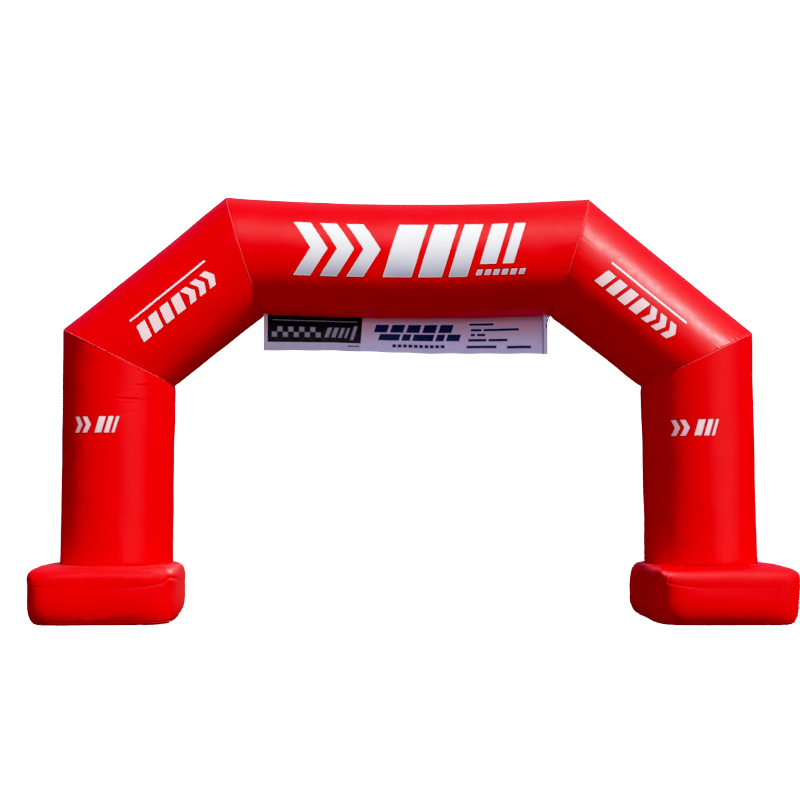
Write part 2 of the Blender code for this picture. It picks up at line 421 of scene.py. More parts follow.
class TubePrint(Enum):
    """The prints on the air tubes."""

    BEAM = Print(
        chevron_row(-1.04, 0.035, 3, 0.20, 0.31, 0.66, 0.62)
        + slanted_row(-0.20, 0.035, (0.34, 0.28, 0.22), 0.075, 0.66, 0.30)
        + slanted_row(0.916, 0.110, (0.19, 0.13), 0.075, 0.51, 0.30)
        + slanted_row(0.80, -0.245, (0.07,) * 6, 0.030, 0.07, 0.30),
        top=(0.97, 0.96, 0.97), foot=(0.50, 0.50, 0.60), rim=(0.93, 0.60, 0.58), rim_width=0.010,
    )
    SHOULDER = Print(
        slanted_row(-0.56, -0.065, (0.12,) * 4, 0.050, 0.20, 0.25)
        + chevron_row(0.21, -0.065, 3, 0.085, 0.145, 0.20, 0.55)
        + (Stroke(0.0, 0.135, 1.12, 0.024),),
        top=PINK_WHITE, foot=PINK_WHITE, rim=(1.0, 0.66, 0.66),
    )
    LEG = Print(
        chevron_row(-0.19, 0.0, 2, 0.07, 0.115, 0.19, 0.55)
        + slanted_row(0.03, 0.0, (0.085, 0.06, 0.035), 0.03, 0.19, 0.30),
        top=(1.0, 0.62, 0.63), foot=(0.96, 0.52, 0.56), rim=(0.93, 0.40, 0.42), span=(-0.1, 0.1),
    )


# ---------------------------------------------------------------- finishes
@dataclass(frozen=True)
class CoatedFabric:
    """Glossy coated fabric of the air tubes and feet.

    Attributes:
        name: the material's name.
        red: the fabric's colour.
        worn: the colour where it is rubbed or chalky.
        dust: the colour of the dust near the ground.
        roughness: the roughness where it is smooth.
        design: the print on it, if any.
        dust_height: the height above the ground where the dust ends, or 0 for none.
    """

    name: str
    red: Color = (0.78, 0.0001, 0.0014)
    worn: Color = (0.74, 0.0010, 0.0026)
    dust: Color = (0.30, 0.020, 0.015)
    roughness: float = 0.42
    design: Print | None = None
    dust_height: float = 0.0

    def material(self) -> bpy.types.Material:
        """Builds the material: cloudy wear, dust, print, weave and soft buckles.

        Returns:
            The finished material.
        """
        dresser = Dresser(self.name, IOR=1.38)
        cloud = dresser.noise(1.7, 4.0)
        scuff = dresser.noise(14.0, 5.0)
        wear = cloud.ramp(0.45, 0.75, 0.0, 0.55) * scuff.ramp(0.35, 0.7)
        color = dresser.blend(wear, self.red, self.worn)
        if self.dust_height:
            low = dresser.height().ramp(0.0, self.dust_height, 0.4, 0.0)
            color = dresser.blend(low * scuff.ramp(0.3, 0.65), color, self.dust)
        if self.design is not None:
            color = self.design.over(dresser, color, dresser.print_place())
        roughness = scuff.ramp(0.3, 0.8, self.roughness - 0.015, self.roughness + 0.035)
        for spots, layers, height, strength in (
            (2.6, 2.0, 0.008, 1.0),     # slow buckles
            (22.0, 2.0, 0.0002, 1.0),   # small unevenness of the coating
            (700.0, 1.0, 0.0001, 0.3),  # the weave under it
        ):
            dresser.bump(dresser.noise(spots, layers), height, strength)
        return dresser.finish(color, roughness)


@dataclass(frozen=True)
class BannerCloth:
    """Matt banner cloth with a hem and a print.

    Attributes:
        name: the material's name.
        cloth: the colour of the bare cloth.
        hem: the colour of the doubled hem.
        width: the cloth's width.
        height: the cloth's height.
        hem_width: the width of its hem.
        painted_bounce_and_shade: painted red light and shade from the tube above, on its upper part.
        painted_top_bounce_and_shade: the same along its upper edge.
        bounce_and_shade_from: the heights between which the first of these comes in.
        top_bounce_and_shade_from: the heights between which the second comes in.
        stitch_in: how far the hem's stitches are from its inner edge.
        stitch_length: the distance from one stitch to the next.
        thread: the distance from one thread of the weave to the next.
    """

    name: str
    cloth: Color
    hem: Color
    width: float
    height: float
    hem_width: float = 0.03
    # Painted light and shade from the red tube above, on the upper part and the upper edge.
    painted_bounce_and_shade: Color = (0.78, 0.41, 0.46)
    painted_top_bounce_and_shade: Color = (0.50, 0.21, 0.23)
    bounce_and_shade_from: tuple[float, float] = (0.06, 0.40)
    top_bounce_and_shade_from: tuple[float, float] = (0.36, 0.44)
    stitch_in: float = 0.004
    stitch_length: float = 0.012
    thread: float = 0.0012

    def place(self, dresser: Dresser) -> tuple[Field, Field, Field]:
        """The place on the cloth.

        Args:
            dresser: the material that is being built.

        Returns:
            The distances from its left and lower edges, and 1 on its back, 0 on its front.
        """
        across, up = dresser.print_place()
        back = up.ramp(BACK_SHIFT / 2 - 0.1, BACK_SHIFT / 2 + 0.1)
        return across, up - back * BACK_SHIFT, back

    def ground(self, dresser: Dresser, across: Field, up: Field) -> bpy.types.NodeSocket:
        """The colour of the bare cloth with its stains, hem, stitches and painted red light and shade.

        Args:
            dresser: the material that is being built.
            across: the distance from the left edge.
            up: the distance from the lower edge.

        Returns:
            The colour's socket.
        """
        spots = dresser.noise(12.0, 4.0)
        stained = tuple(0.86 * part for part in self.cloth)
        color = dresser.blend(spots.ramp(0.4, 0.8, 0.0, 0.6), self.cloth, stained)
        to_edge = up.least(up * -1.0 + self.height)
        hemmed = to_edge.ramp(self.hem_width, self.hem_width - 2 * SOFT_EDGE)
        color = dresser.blend(hemmed, color, self.hem)
        row = abs(to_edge - (self.hem_width - self.stitch_in)).ramp(0.0018, 0.0010)
        dash = (across * (2.0 * math.pi / self.stitch_length)).math("SINE").ramp(-0.3, 0.1)
        color = dresser.blend(row * dash, color, tuple(0.6 * part for part in self.hem))
        # Painted light and shade: the red tube's bounced light and its shadow, darker and redder towards
        # the upper edge.
        color = dresser.blend(up.ramp(*self.bounce_and_shade_from), color, self.painted_bounce_and_shade)
        return dresser.blend(up.ramp(*self.top_bounce_and_shade_from), color, self.painted_top_bounce_and_shade)

    def weave(self, dresser: Dresser, across: Field, up: Field) -> None:
        """Adds the weave's fine relief, a product of sines across and up, and soft unevenness.

        Args:
            dresser: the material that is being built.
            across: the distance from the left edge.
            up: the distance from the lower edge.
        """
        turn = 2.0 * math.pi / self.thread
        threads = (across * turn).math("SINE") * (up * turn).math("SINE")
        dresser.bump(threads * 0.5 + 0.5, 0.0001, 0.4)
        dresser.bump(dresser.noise(9.0, 3.0), 0.0015)


@dataclass(frozen=True)
class PanelCloth(BannerCloth):
    """The left cloth: pale, with one dark panel that holds a chequer and slanted bars.

    Attributes:
        panel: the dark panel's colour.
        line: the colour of the thin line along it.
        painted_bounce_and_shade: painted red light and shade from the tube above, on its upper part.
        painted_top_bounce_and_shade: the same along its upper edge.
        edging: the colour of the narrow band round the panel.
        grey: the colour of its chequer and bars.
        side: how far the panel stays from the left edge.
        foot: how far it stays from the bottom edge.
        square: the side of one square of the chequer.
        design_up: the height of the chequer's middle above the panel's foot.
    """

    panel: Color = (0.004, 0.004, 0.005)
    line: Color = (0.30, 0.26, 0.29)
    # Painted light: pinker towards the top, from the red tube's bounced light and shade.
    painted_bounce_and_shade: Color = (0.95, 0.52, 0.60)
    painted_top_bounce_and_shade: Color = (0.95, 0.50, 0.56)
    edging: Color = (0.80, 0.76, 0.80)
    grey: Color = (0.44, 0.39, 0.42)
    side: float = 0.048
    foot: float = 0.106
    square: float = 0.066
    design_up: float = 0.127

    def design(self) -> Print:
        """Grey chequers in two rows and a run of slanted bars.

        Returns:
            The print.
        """
        middle = self.foot + self.design_up
        rows = (middle - self.square / 2, middle + self.square / 2)
        squares = tuple(
            Stroke(0.13 + self.square * index, rows[index % 2], self.square, self.square)
            for index in range(9)
        )
        bars = slanted_row(0.75, middle, (0.055, 0.055, 0.045, 0.035), 0.028, 0.13, 0.35)
        bars += (Stroke(1.085, middle, 0.045, 0.18, 0.30),)
        return Print(
            squares + bars, top=self.grey, foot=self.grey, rim=(0.26, 0.22, 0.25), rim_width=0.006,
            halo_width=0.0,
        )

    def material(self) -> bpy.types.Material:
        """Builds the material: the cloth, its dark panel with the design, and a dash under it.

        Returns:
            The finished material.
        """
        dresser = Dresser(self.name, Roughness=0.62, IOR=1.45)
        across, up, back = self.place(dresser)
        ground = self.ground(dresser, across, up)
        inside = (across - self.side).least(up - self.foot)
        rule = Stroke(0.62, self.height - 0.055, 1.02, 0.009).edge(across, up)
        dark = dresser.blend(rule.ramp(0.002, -0.001), self.panel, self.line)
        dark = self.design().over(dresser, dark, (across, up))
        color = dresser.blend(inside.ramp(-SOFT_EDGE, SOFT_EDGE), ground, dark)
        color = dresser.blend(abs(inside + 0.006).ramp(0.006, 0.004), color, self.edging)
        dash = Stroke(1.08, 0.068, 0.14, 0.012).edge(across, up)
        color = dresser.blend(dash.ramp(0.003, -0.002), color, self.panel)
        color = dresser.blend(back * SHOW_THROUGH, color, ground)
        self.weave(dresser, across, up)
        return dresser.finish(color)


@dataclass(frozen=True)
class NoticeCloth(BannerCloth):
    """The right cloth: pale lilac, with navy blocks and a column of thin bars.

    Attributes:
        navy: the colour of its print.
        sleeve_line: the colour of the line along its sleeve.
        end_line: the colour of the line at its end.
        sleeve_at: the sleeve line's distance from the right edge.
    """

    navy: Color = (0.010, 0.015, 0.060)
    sleeve_line: Color = (0.22, 0.20, 0.34)
    end_line: Color = (0.24, 0.23, 0.34)
    sleeve_at: float = 0.056

    def design(self) -> Print:
        """Navy blocks with a pale outline, a dashed rule and six broken bars.

        Returns:
            The print.
        """
        blocks = slanted_row(0.15, 0.316, (0.16, 0.16, 0.16, 0.16, 0.16), 0.035, 0.105, 0.30)
        blocks += slanted_row(0.20, 0.203, (0.25, 0.10, 0.25, 0.10, 0.16), 0.030, 0.085, 0.30)
        rule = slanted_row(0.36, 0.092, (0.045,) * 10, 0.020, 0.038, 0.0)
        bars: tuple[Stroke, ...] = ()
        for up, start, widths in (
            (0.368, 1.29, (0.30,)),
            (0.298, 1.31, (0.13, 0.43)),
            (0.237, 1.31, (0.05, 0.10)),
            (0.172, 1.28, (0.22, 0.23)),
            (0.088, 1.26, (0.36,)),
            (0.084, 1.75, (0.29,)),
        ):
            bars += slanted_row(start, up, widths, 0.026, 0.031, 0.0)
        return Print(
            blocks + rule + bars, top=self.navy, foot=self.navy, rim=(0.06, 0.07, 0.16), rim_width=0.002,
            halo=(0.76, 0.66, 0.86), halo_width=0.006,
        )

    def material(self) -> bpy.types.Material:
        """Builds the material: the cloth, its hem and lines at the sleeve, and the design.

        Returns:
            The finished material.
        """
        dresser = Dresser(self.name, Roughness=0.66, IOR=1.45)
        across, up, back = self.place(dresser)
        ground = self.ground(dresser, across, up)
        inside = across * -1.0 + self.width
        ground = dresser.blend(inside.ramp(0.052, 0.048), ground, self.hem)
        ground = dresser.blend(abs(inside - self.sleeve_at).ramp(0.009, 0.006), ground, self.sleeve_line)
        ground = dresser.blend(inside.ramp(0.010, 0.006), ground, self.end_line)
        color = self.design().over(dresser, ground, (across, up))
        color = dresser.blend(back * SHOW_THROUGH, color, ground)
        self.weave(dresser, across, up)
        return dresser.finish(color)


@dataclass(frozen=True)
class CordFinish:
    """Braided cord.

    Attributes:
        name: the material's name.
        color: the yarn's colour.
        shade: the darker colour between the plaits, painted shade in the grooves.
        pitch: the phase of the plaits for each metre along the cord.
        turns: their phase for each turn around it.
    """

    name: str
    color: Color
    shade: Color
    pitch: float = 900.0
    turns: float = 6.0

    def material(self) -> bpy.types.Material:
        """Builds the material: plaits that cross the cord both ways.

        Returns:
            The finished material.
        """
        dresser = Dresser(self.name, Roughness=0.75, IOR=1.45)
        along, around = dresser.print_place()
        first = (along * self.pitch + around * self.turns).math("SINE")
        second = (along * self.pitch - around * self.turns).math("SINE")
        plait = first.most(second)
        # Painted shade: darker in the grooves between the plaits.
        color = dresser.blend(plait.ramp(0.1, 0.8), self.shade, self.color)
        dresser.bump(plait * 0.5 + 0.5, 0.0006)
        return dresser.finish(color)


# ---------------------------------------------------------------- surfaces
def unit(vectors: np.ndarray) -> np.ndarray:
    """The vectors, each divided by its own length."""
    return vectors / np.maximum(np.linalg.norm(vectors, axis=-1, keepdims=True), 1e-12)


@dataclass
class Surface:
    """A grid of points, row by row, that may close on itself from its last column to its first.

    Attributes:
        points: the points, as rows by columns by 3.
        places: the print's place of each point in metres, with one more column where it closes.
        closed: whether the last column joins the first.
        capped: whether the first and last rows are closed with a fan.
    """

    points: np.ndarray
    places: np.ndarray
    closed: bool = True
    capped: bool = True

    def directions(self) -> tuple[np.ndarray, np.ndarray]:
        """Unit directions at each point.

        Returns:
            The direction from row to row, which is the difference of the neighbours on either
            side, and the outward direction, which is the cross product of that and the same along
            the row. Outwards points away from the middle of its row, or to the front on an open
            sheet.
        """
        rows = np.gradient(self.points, axis=0)
        if self.closed:
            around = np.roll(self.points, -1, axis=1) - np.roll(self.points, 1, axis=1)
            away = self.points - self.points.mean(axis=1, keepdims=True)
        else:
            around = np.gradient(self.points, axis=1)
            away = np.zeros_like(self.points) + (0.0, -1.0, 0.0)
        out = unit(np.cross(around, rows))
        if (out * away).sum() < 0.0:
            out = -out
        return unit(rows), out

    def raised(self, height: np.ndarray) -> "Surface":
        """The same surface with each point moved outwards.

        Args:
            height: how far, for each point.

        Returns:
            The moved surface.
        """
        out = self.directions()[1]
        return Surface(self.points + out * height[:, :, None], self.places, self.closed, self.capped)

    def shell(self) -> tuple[np.ndarray, np.ndarray, np.ndarray, np.ndarray, np.ndarray]:
        """The faces of a closed or open grid.

        Returns:
            The points, the quads, their places, the triangles that close both ends and their
            places.
        """
        rows, columns, _ = self.points.shape
        wrap = columns if self.closed else columns - 1
        row, column = np.meshgrid(np.arange(rows - 1), np.arange(wrap), indexing="ij")
        after = (column + 1) % columns
        steps = (
            (0, column, column), (0, after, column + 1), (1, after, column + 1), (1, column, column),
        )
        quads = np.stack([(row + up) * columns + at for up, at, _ in steps], axis=-1)
        places = np.stack([self.places[row + up, at] for up, _, at in steps], axis=-2)
        quads, places = quads.reshape(-1, 4), places.reshape(-1, 4, 2)
        points = self.points.reshape(-1, 3)
        fans, fan_places = np.zeros((0, 3), int), np.zeros((0, 3, 2))
        if self.closed and self.capped:
            hubs = self.points[[0, -1]].mean(axis=1)
            ring = np.arange(columns)
            after = (ring + 1) % columns
            base = (rows - 1) * columns
            hub = np.full(columns, len(points))
            fans = np.concatenate([
                np.stack([after, ring, hub], axis=-1),
                np.stack([base + ring, base + after, hub + 1], axis=-1),
            ])
            start, end = self.places[0], self.places[-1]
            fan_places = np.concatenate([
                np.stack([start[1:], start[:-1], start[:-1]], axis=1),
                np.stack([end[:-1], end[1:], end[:-1]], axis=1),
            ])
            points = np.concatenate([points, hubs])
        return points, quads, places, fans, fan_places

    def sheet(
        self, thickness: np.ndarray
    ) -> tuple[np.ndarray, np.ndarray, np.ndarray, np.ndarray, np.ndarray]:
        """The faces of an open grid that is given a thickness: a front, a back and a rim.

        Args:
            thickness: the cloth's thickness at each point.

        Returns:
            The same as for a shell. The places on the back lie BACK_SHIFT higher.
        """
        out = self.directions()[1] * thickness[:, :, None] / 2.0
        rows, columns, _ = self.points.shape
        front = Surface(self.points + out, self.places, False)
        _, quads, places, fans, fan_places = front.shell()
        points = np.concatenate([(self.points + out).reshape(-1, 3), (self.points - out).reshape(-1, 3)])
        count = rows * columns
        index = np.arange(count).reshape(rows, columns)
        loop = np.concatenate([index[0, :-1], index[:-1, -1], index[-1, :0:-1], index[:0:-1, 0]])
        after = np.roll(loop, -1)
        flat = self.places.reshape(-1, 2)
        rim = np.stack([after, loop, loop + count, after + count], axis=-1)
        rim_places = np.stack([flat[after], flat[loop], flat[loop], flat[after]], axis=1)
        back = quads[:, ::-1] + count
        back_places = places[:, ::-1] + (0.0, BACK_SHIFT)
        return (
            points, np.concatenate([quads, back, rim]),
            np.concatenate([places, back_places, rim_places]), fans, fan_places,
        )

    def build(
        self, name: str, material: bpy.types.Material, group: Group,
        thickness: np.ndarray | None = None, sharp: float = 50.0,
    ) -> bpy.types.Object:
        """Makes the object.

        Args:
            name: its name.
            material: its finish.
            group: the collection that it goes into.
            thickness: the thickness at each point of an open grid.
            sharp: the angle between faces, in degrees, above which their edge stays crisp.

        Returns:
            The object, at the origin, with its faces pointing outwards: they are all turned
            round where the volume that they close comes out below 0.
        """
        parts = self.shell() if thickness is None else self.sheet(thickness)
        points, quads, places, fans, fan_places = parts
        corners, tips = points[quads], points[fans]
        volume = (corners[:, 0] * np.cross(corners[:, 1], corners[:, 2])).sum()
        volume += (corners[:, 0] * np.cross(corners[:, 2], corners[:, 3])).sum()
        volume += (tips[:, 0] * np.cross(tips[:, 1], tips[:, 2])).sum()
        if volume < 0.0:
            quads, places = quads[:, ::-1], places[:, ::-1]
            fans, fan_places = fans[:, ::-1], fan_places[:, ::-1]
        mesh = bpy.data.meshes.new(name)
        mesh.vertices.add(len(points))
        mesh.vertices.foreach_set("co", points.astype(np.float32).ravel())
        loops = np.concatenate([quads.ravel(), fans.ravel()])
        mesh.loops.add(len(loops))
        mesh.loops.foreach_set("vertex_index", loops.astype(np.int32))
        starts = np.concatenate([np.arange(len(quads)) * 4, quads.size + np.arange(len(fans)) * 3])
        mesh.polygons.add(len(starts))
        mesh.polygons.foreach_set("loop_start", starts.astype(np.int32))
        layer = mesh.uv_layers.new(name=PRINT_MAP)
        flat = np.concatenate([places.reshape(-1, 2), fan_places.reshape(-1, 2)])
        layer.data.foreach_set("uv", flat.astype(np.float32).ravel())
        mesh.update(calc_edges=True)
        mesh.shade_smooth()
        mesh.set_sharp_from_angle(angle=math.radians(sharp))
        mesh.materials.append(material)
        piece = bpy.data.objects.new(name, mesh)
        group.collection().objects.link(piece)
        return piece


class Group(Enum):
    """The collections, by what lights them."""

    INFLATED = "inflated"
    HUNG = "hung"
    STAGE = "stage"

    def collection(self) -> bpy.types.Collection:
        """The group's collection, made when it is first asked for.

        Returns:
            The collection.
        """
        found = bpy.data.collections.get(self.value)
        if found is None:
            found = bpy.data.collections.new(self.value)
            bpy.context.scene.collection.children.link(found)
        return found


def through(points: np.ndarray, places: np.ndarray) -> np.ndarray:
    """A smooth curve through points.

    Between two neighbours it is the cubic whose slope at each point is half the difference of
    the points on either side (Catmull-Rom). The ends are carried straight on.

    Args:
        points: the points to pass through, one in each row.
        places: where to read the curve, counted in points.

    Returns:
        One row for each place.
    """
    ends = np.concatenate([2 * points[:1] - points[1:2], points, 2 * points[-1:] - points[-2:-1]])
    index = np.clip(places.astype(int), 0, len(points) - 2)
    t = (places - index)[:, None]
    a, b, c, d = (ends[index + step] for step in range(4))
    square, cube = 2 * a - 5 * b + 4 * c - d, 3 * b - a - 3 * c + d
    return 0.5 * (2 * b + (c - a) * t + square * t**2 + cube * t**3)


def swept(
    path: np.ndarray, out: np.ndarray, half_out: float, half_side: float, closed: bool, sides: int = 12
) -> Surface:
    """A tube of oval section carried along a path.

    At each point of the path the section is an ellipse in the plane across the path: out times
    half_out times the cosine of its angle, plus the third direction times half_side times the
    sine.

    Args:
        path: the path's points, as n by 3.
        out: a unit direction at each point, roughly across the path.
        half_out: the section's half size along that direction.
        half_side: its half size along the other.
        closed: whether the path is a loop.
        sides: how many points the section has.

    Returns:
        The surface, whose rows are the sections.
    """
    if closed:
        path = np.concatenate([path, path[:1]])
        out = np.concatenate([out, out[:1]])
        run = np.gradient(np.concatenate([path[-2:-1], path, path[1:2]]), axis=0)[1:-1]
    else:
        run = np.gradient(path, axis=0)
    run = unit(run)
    out = unit(out - (out * run).sum(axis=1)[:, None] * run)
    side = np.cross(run, out)
    angle = np.linspace(0.0, 2.0 * math.pi, sides, endpoint=False)
    section = (
        half_out * np.cos(angle)[None, :, None] * out[:, None, :]
        + half_side * np.sin(angle)[None, :, None] * side[:, None, :]
    )
    length = np.concatenate([[0.0], np.cumsum(np.linalg.norm(np.diff(path, axis=0), axis=1))])
    places = np.stack(np.broadcast_arrays(
        length[:, None], np.linspace(0.0, 1.0, sides + 1)[None, :]
    ), axis=-1)
    return Surface(path[:, None, :] + section, places, True, not closed)


def ripple(angle: np.ndarray, waves: float, seed: int) -> np.ndarray:
    """Uneven ridges around a closed ring.

    The sum of six sine waves, each with a whole number of waves around the ring near the usual
    number and a phase from a seeded generator. Above 0 the sum is taken to the power of 1.4, and
    below 0 it is cut to 40 %.

    Args:
        angle: the place around the ring.
        waves: the usual number of ridges in the whole ring.
        seed: the generator's seed.

    Returns:
        Heights mostly between -0.7 and 2.
    """
    random = np.random.default_rng(seed)
    counts = np.round(waves * random.uniform(0.6, 1.5, 6))
    phases = random.uniform(0.0, 2.0 * math.pi, 6)
    total = sum(np.sin(count * angle + phase) for count, phase in zip(counts, phases)) / 2.4
    return np.where(total > 0.0, np.abs(total) ** 1.4, -0.4 * np.abs(total))


def billow(angle: np.ndarray, along: np.ndarray, seed: int) -> np.ndarray:
    """Slow swells of an air-filled skin.

    The sum of eight products of a sine around the tube, with 2 to 7 whole waves, and a sine along
    it, 0.5 to 1.6 m long, each with phases from a seeded generator.

    Args:
        angle: the place around the tube.
        along: the place along it, in metres.
        seed: the generator's seed.

    Returns:
        Heights mostly between -1 and 1.
    """
    random = np.random.default_rng(seed)
    total = np.zeros(np.broadcast(angle, along).shape)
    for _ in range(8):
        count, length = random.integers(2, 8), random.uniform(0.5, 1.6)
        phases = random.uniform(0.0, 2.0 * math.pi, 2)
        total += np.sin(count * angle + phases[0]) * np.sin(2.0 * math.pi * along / length + phases[1])
    return total / 2.5


def bell(distance: np.ndarray, reach: float) -> np.ndarray:
    """A bell curve: 1 at 0 and 1/e at the reach."""
    return np.exp(-((distance / reach) ** 2))


def ride(piece: bpy.types.Object, slot: str, *nodes: str) -> bpy.types.Object:
    """Puts a piece on the arch's body and hides the solids that it replaces.

    Args:
        piece: the piece.
        slot: its material slot; not used.
        nodes: the solids that it replaces.

    Returns:
        The piece.
    """
    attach(piece, BODY)
    if nodes:
        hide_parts(*nodes)
    LOG.info("%s: %d faces", piece.name, len(getattr(piece.data, "polygons", ())))
    return piece


# ---------------------------------------------------------------- spine and air tubes
@dataclass(frozen=True)
class Joint:
    """Where two tubes meet, or where a leg stands on its foot.

    Attributes:
        x: X of the seam's centre.
        z: its height.
        radius: the tube's radius there.
        swing: how far the seam is turned, in degrees, from the line that halves the bend.
    """

    x: float
    z: float
    radius: float
    swing: float = 0.0


@dataclass(frozen=True)
class Seam:
    """The ellipse in which two tubes meet.

    Attributes:
        center: its centre, in X and Z.
        outward: the unit direction to the arch's outer side, in X and Z.
        half_width: its half size in that direction.
        half_depth: its half size from front to back.
    """

    center: np.ndarray
    outward: np.ndarray
    half_width: float
    half_depth: float

    def ring(self, angle: np.ndarray) -> np.ndarray:
        """Points of the seam, at angles that run from the front towards the outer side.

        A point is the centre, plus outward times the half width times the sine, and Y is minus
        the half depth times the cosine.

        Args:
            angle: the angle of each point.

        Returns:
            The points.
        """
        flat = self.center + np.sin(angle)[:, None] * self.half_width * self.outward
        return np.column_stack([flat[:, 0], -self.half_depth * np.cos(angle), flat[:, 1]])


@dataclass(frozen=True)
class Spine:
    """The line of joints from the left leg's foot to the right leg's.

    Attributes:
        joints: the joints in order.
    """

    joints: tuple[Joint, ...] = (
        Joint(-3.500, 0.6603, 0.666),
        Joint(-3.498, 3.1250, 0.681, -1.1),
        Joint(-1.987, 4.3590, 0.711, -1.9),
        Joint(1.946, 4.3530, 0.703, 1.4),
        Joint(3.479, 3.1030, 0.674),
        Joint(3.500, 0.6603, 0.666),
    )

    def seams(self) -> tuple[Seam, ...]:
        """The seam at each joint.

        Its normal is the sum of the unit directions of the two tubes, and a leg's own direction at
        its foot. The half width is the radius over the cosine of half the bend. Then the seam is
        swung.

        Returns:
            The seams in order.
        """
        points = np.array([(joint.x, joint.z) for joint in self.joints])
        runs = unit(np.diff(points, axis=0))
        before = np.vstack([(0.0, 1.0), runs])
        after = np.vstack([runs, (0.0, -1.0)])
        before[-1], after[0] = after[-1], before[0]
        normals = unit(before + after)
        halves = np.array([joint.radius for joint in self.joints]) / (before * normals).sum(axis=1)
        swings = np.radians([joint.swing for joint in self.joints])
        outward = np.column_stack([
            -normals[:, 1] * np.cos(swings) - normals[:, 0] * np.sin(swings),
            -normals[:, 1] * np.sin(swings) + normals[:, 0] * np.cos(swings),
        ])
        return tuple(
            Seam(point, direction, float(half), joint.radius)
            for point, direction, half, joint in zip(points, outward, halves, self.joints)
        )


class End(Enum):
    """The two seams of a tube."""

    FIRST = 0
    LAST = 1


@dataclass(frozen=True)
class Gather:
    """Puckers that run in from a seam.

    Attributes:
        end: the seam.
        height: how high they stand.
        angle: the middle of the stretch that has them, in degrees from the front to the outer
            side.
        spread: how many degrees to either side they fade over.
        spacing: the usual distance between them.
        reach: how far they run.
    """

    end: End
    height: float
    angle: float = 0.0
    spread: float = 400.0
    spacing: float = 0.06
    reach: float = 0.09

    def relief(self, angle: np.ndarray, away: np.ndarray, radius: float, seed: int) -> np.ndarray:
        """Ridges around the tube that fade as an exponential of the distance from the seam.

        Args:
            angle: the angle of each column.
            away: the distance of each point from the seam.
            radius: the tube's radius.
            seed: the number that the ridges are drawn from.

        Returns:
            The heights.
        """
        turn = np.angle(np.exp(1j * (angle - math.radians(self.angle))))
        share = bell(turn, math.radians(self.spread))
        waves = 2.0 * math.pi * radius / self.spacing
        rise = np.minimum(away / 0.012, 1.0) * np.exp(-away / self.reach)
        return self.height * share * rise * ripple(angle, waves, seed)


@dataclass(frozen=True)
class Crease:
    """One crease across a tube.

    Attributes:
        along: how far its middle is from the tube's first seam.
        angle: its middle, in degrees from the front to the outer side.
        length: how long it is.
        depth: how deep it is.
        width: half its width.
        tilt: how far it climbs along the tube for each metre around it.
        bow: how much it curves.
    """

    along: float
    angle: float
    length: float
    depth: float
    width: float = 0.016
    tilt: float = 0.0
    bow: float = 0.0

    def relief(self, angle: np.ndarray, along: np.ndarray, radius: float) -> np.ndarray:
        """A groove along the crease's line with a low ridge on its far side, faded at both ends.

        The line climbs by tilt a + bow a^2 for a metres around the tube.

        Args:
            angle: the angle of each column.
            along: the distance of each point from the tube's first seam.
            radius: the tube's radius.

        Returns:
            The heights.
        """
        around = (angle - math.radians(self.angle)) * radius
        side = (along - self.along - self.tilt * around - self.bow * around**2) / self.width
        fade = bell(around, self.length / 2)
        return self.depth * fade * (0.7 * bell(side - 1.5, 1.0) - bell(side, 1.0))


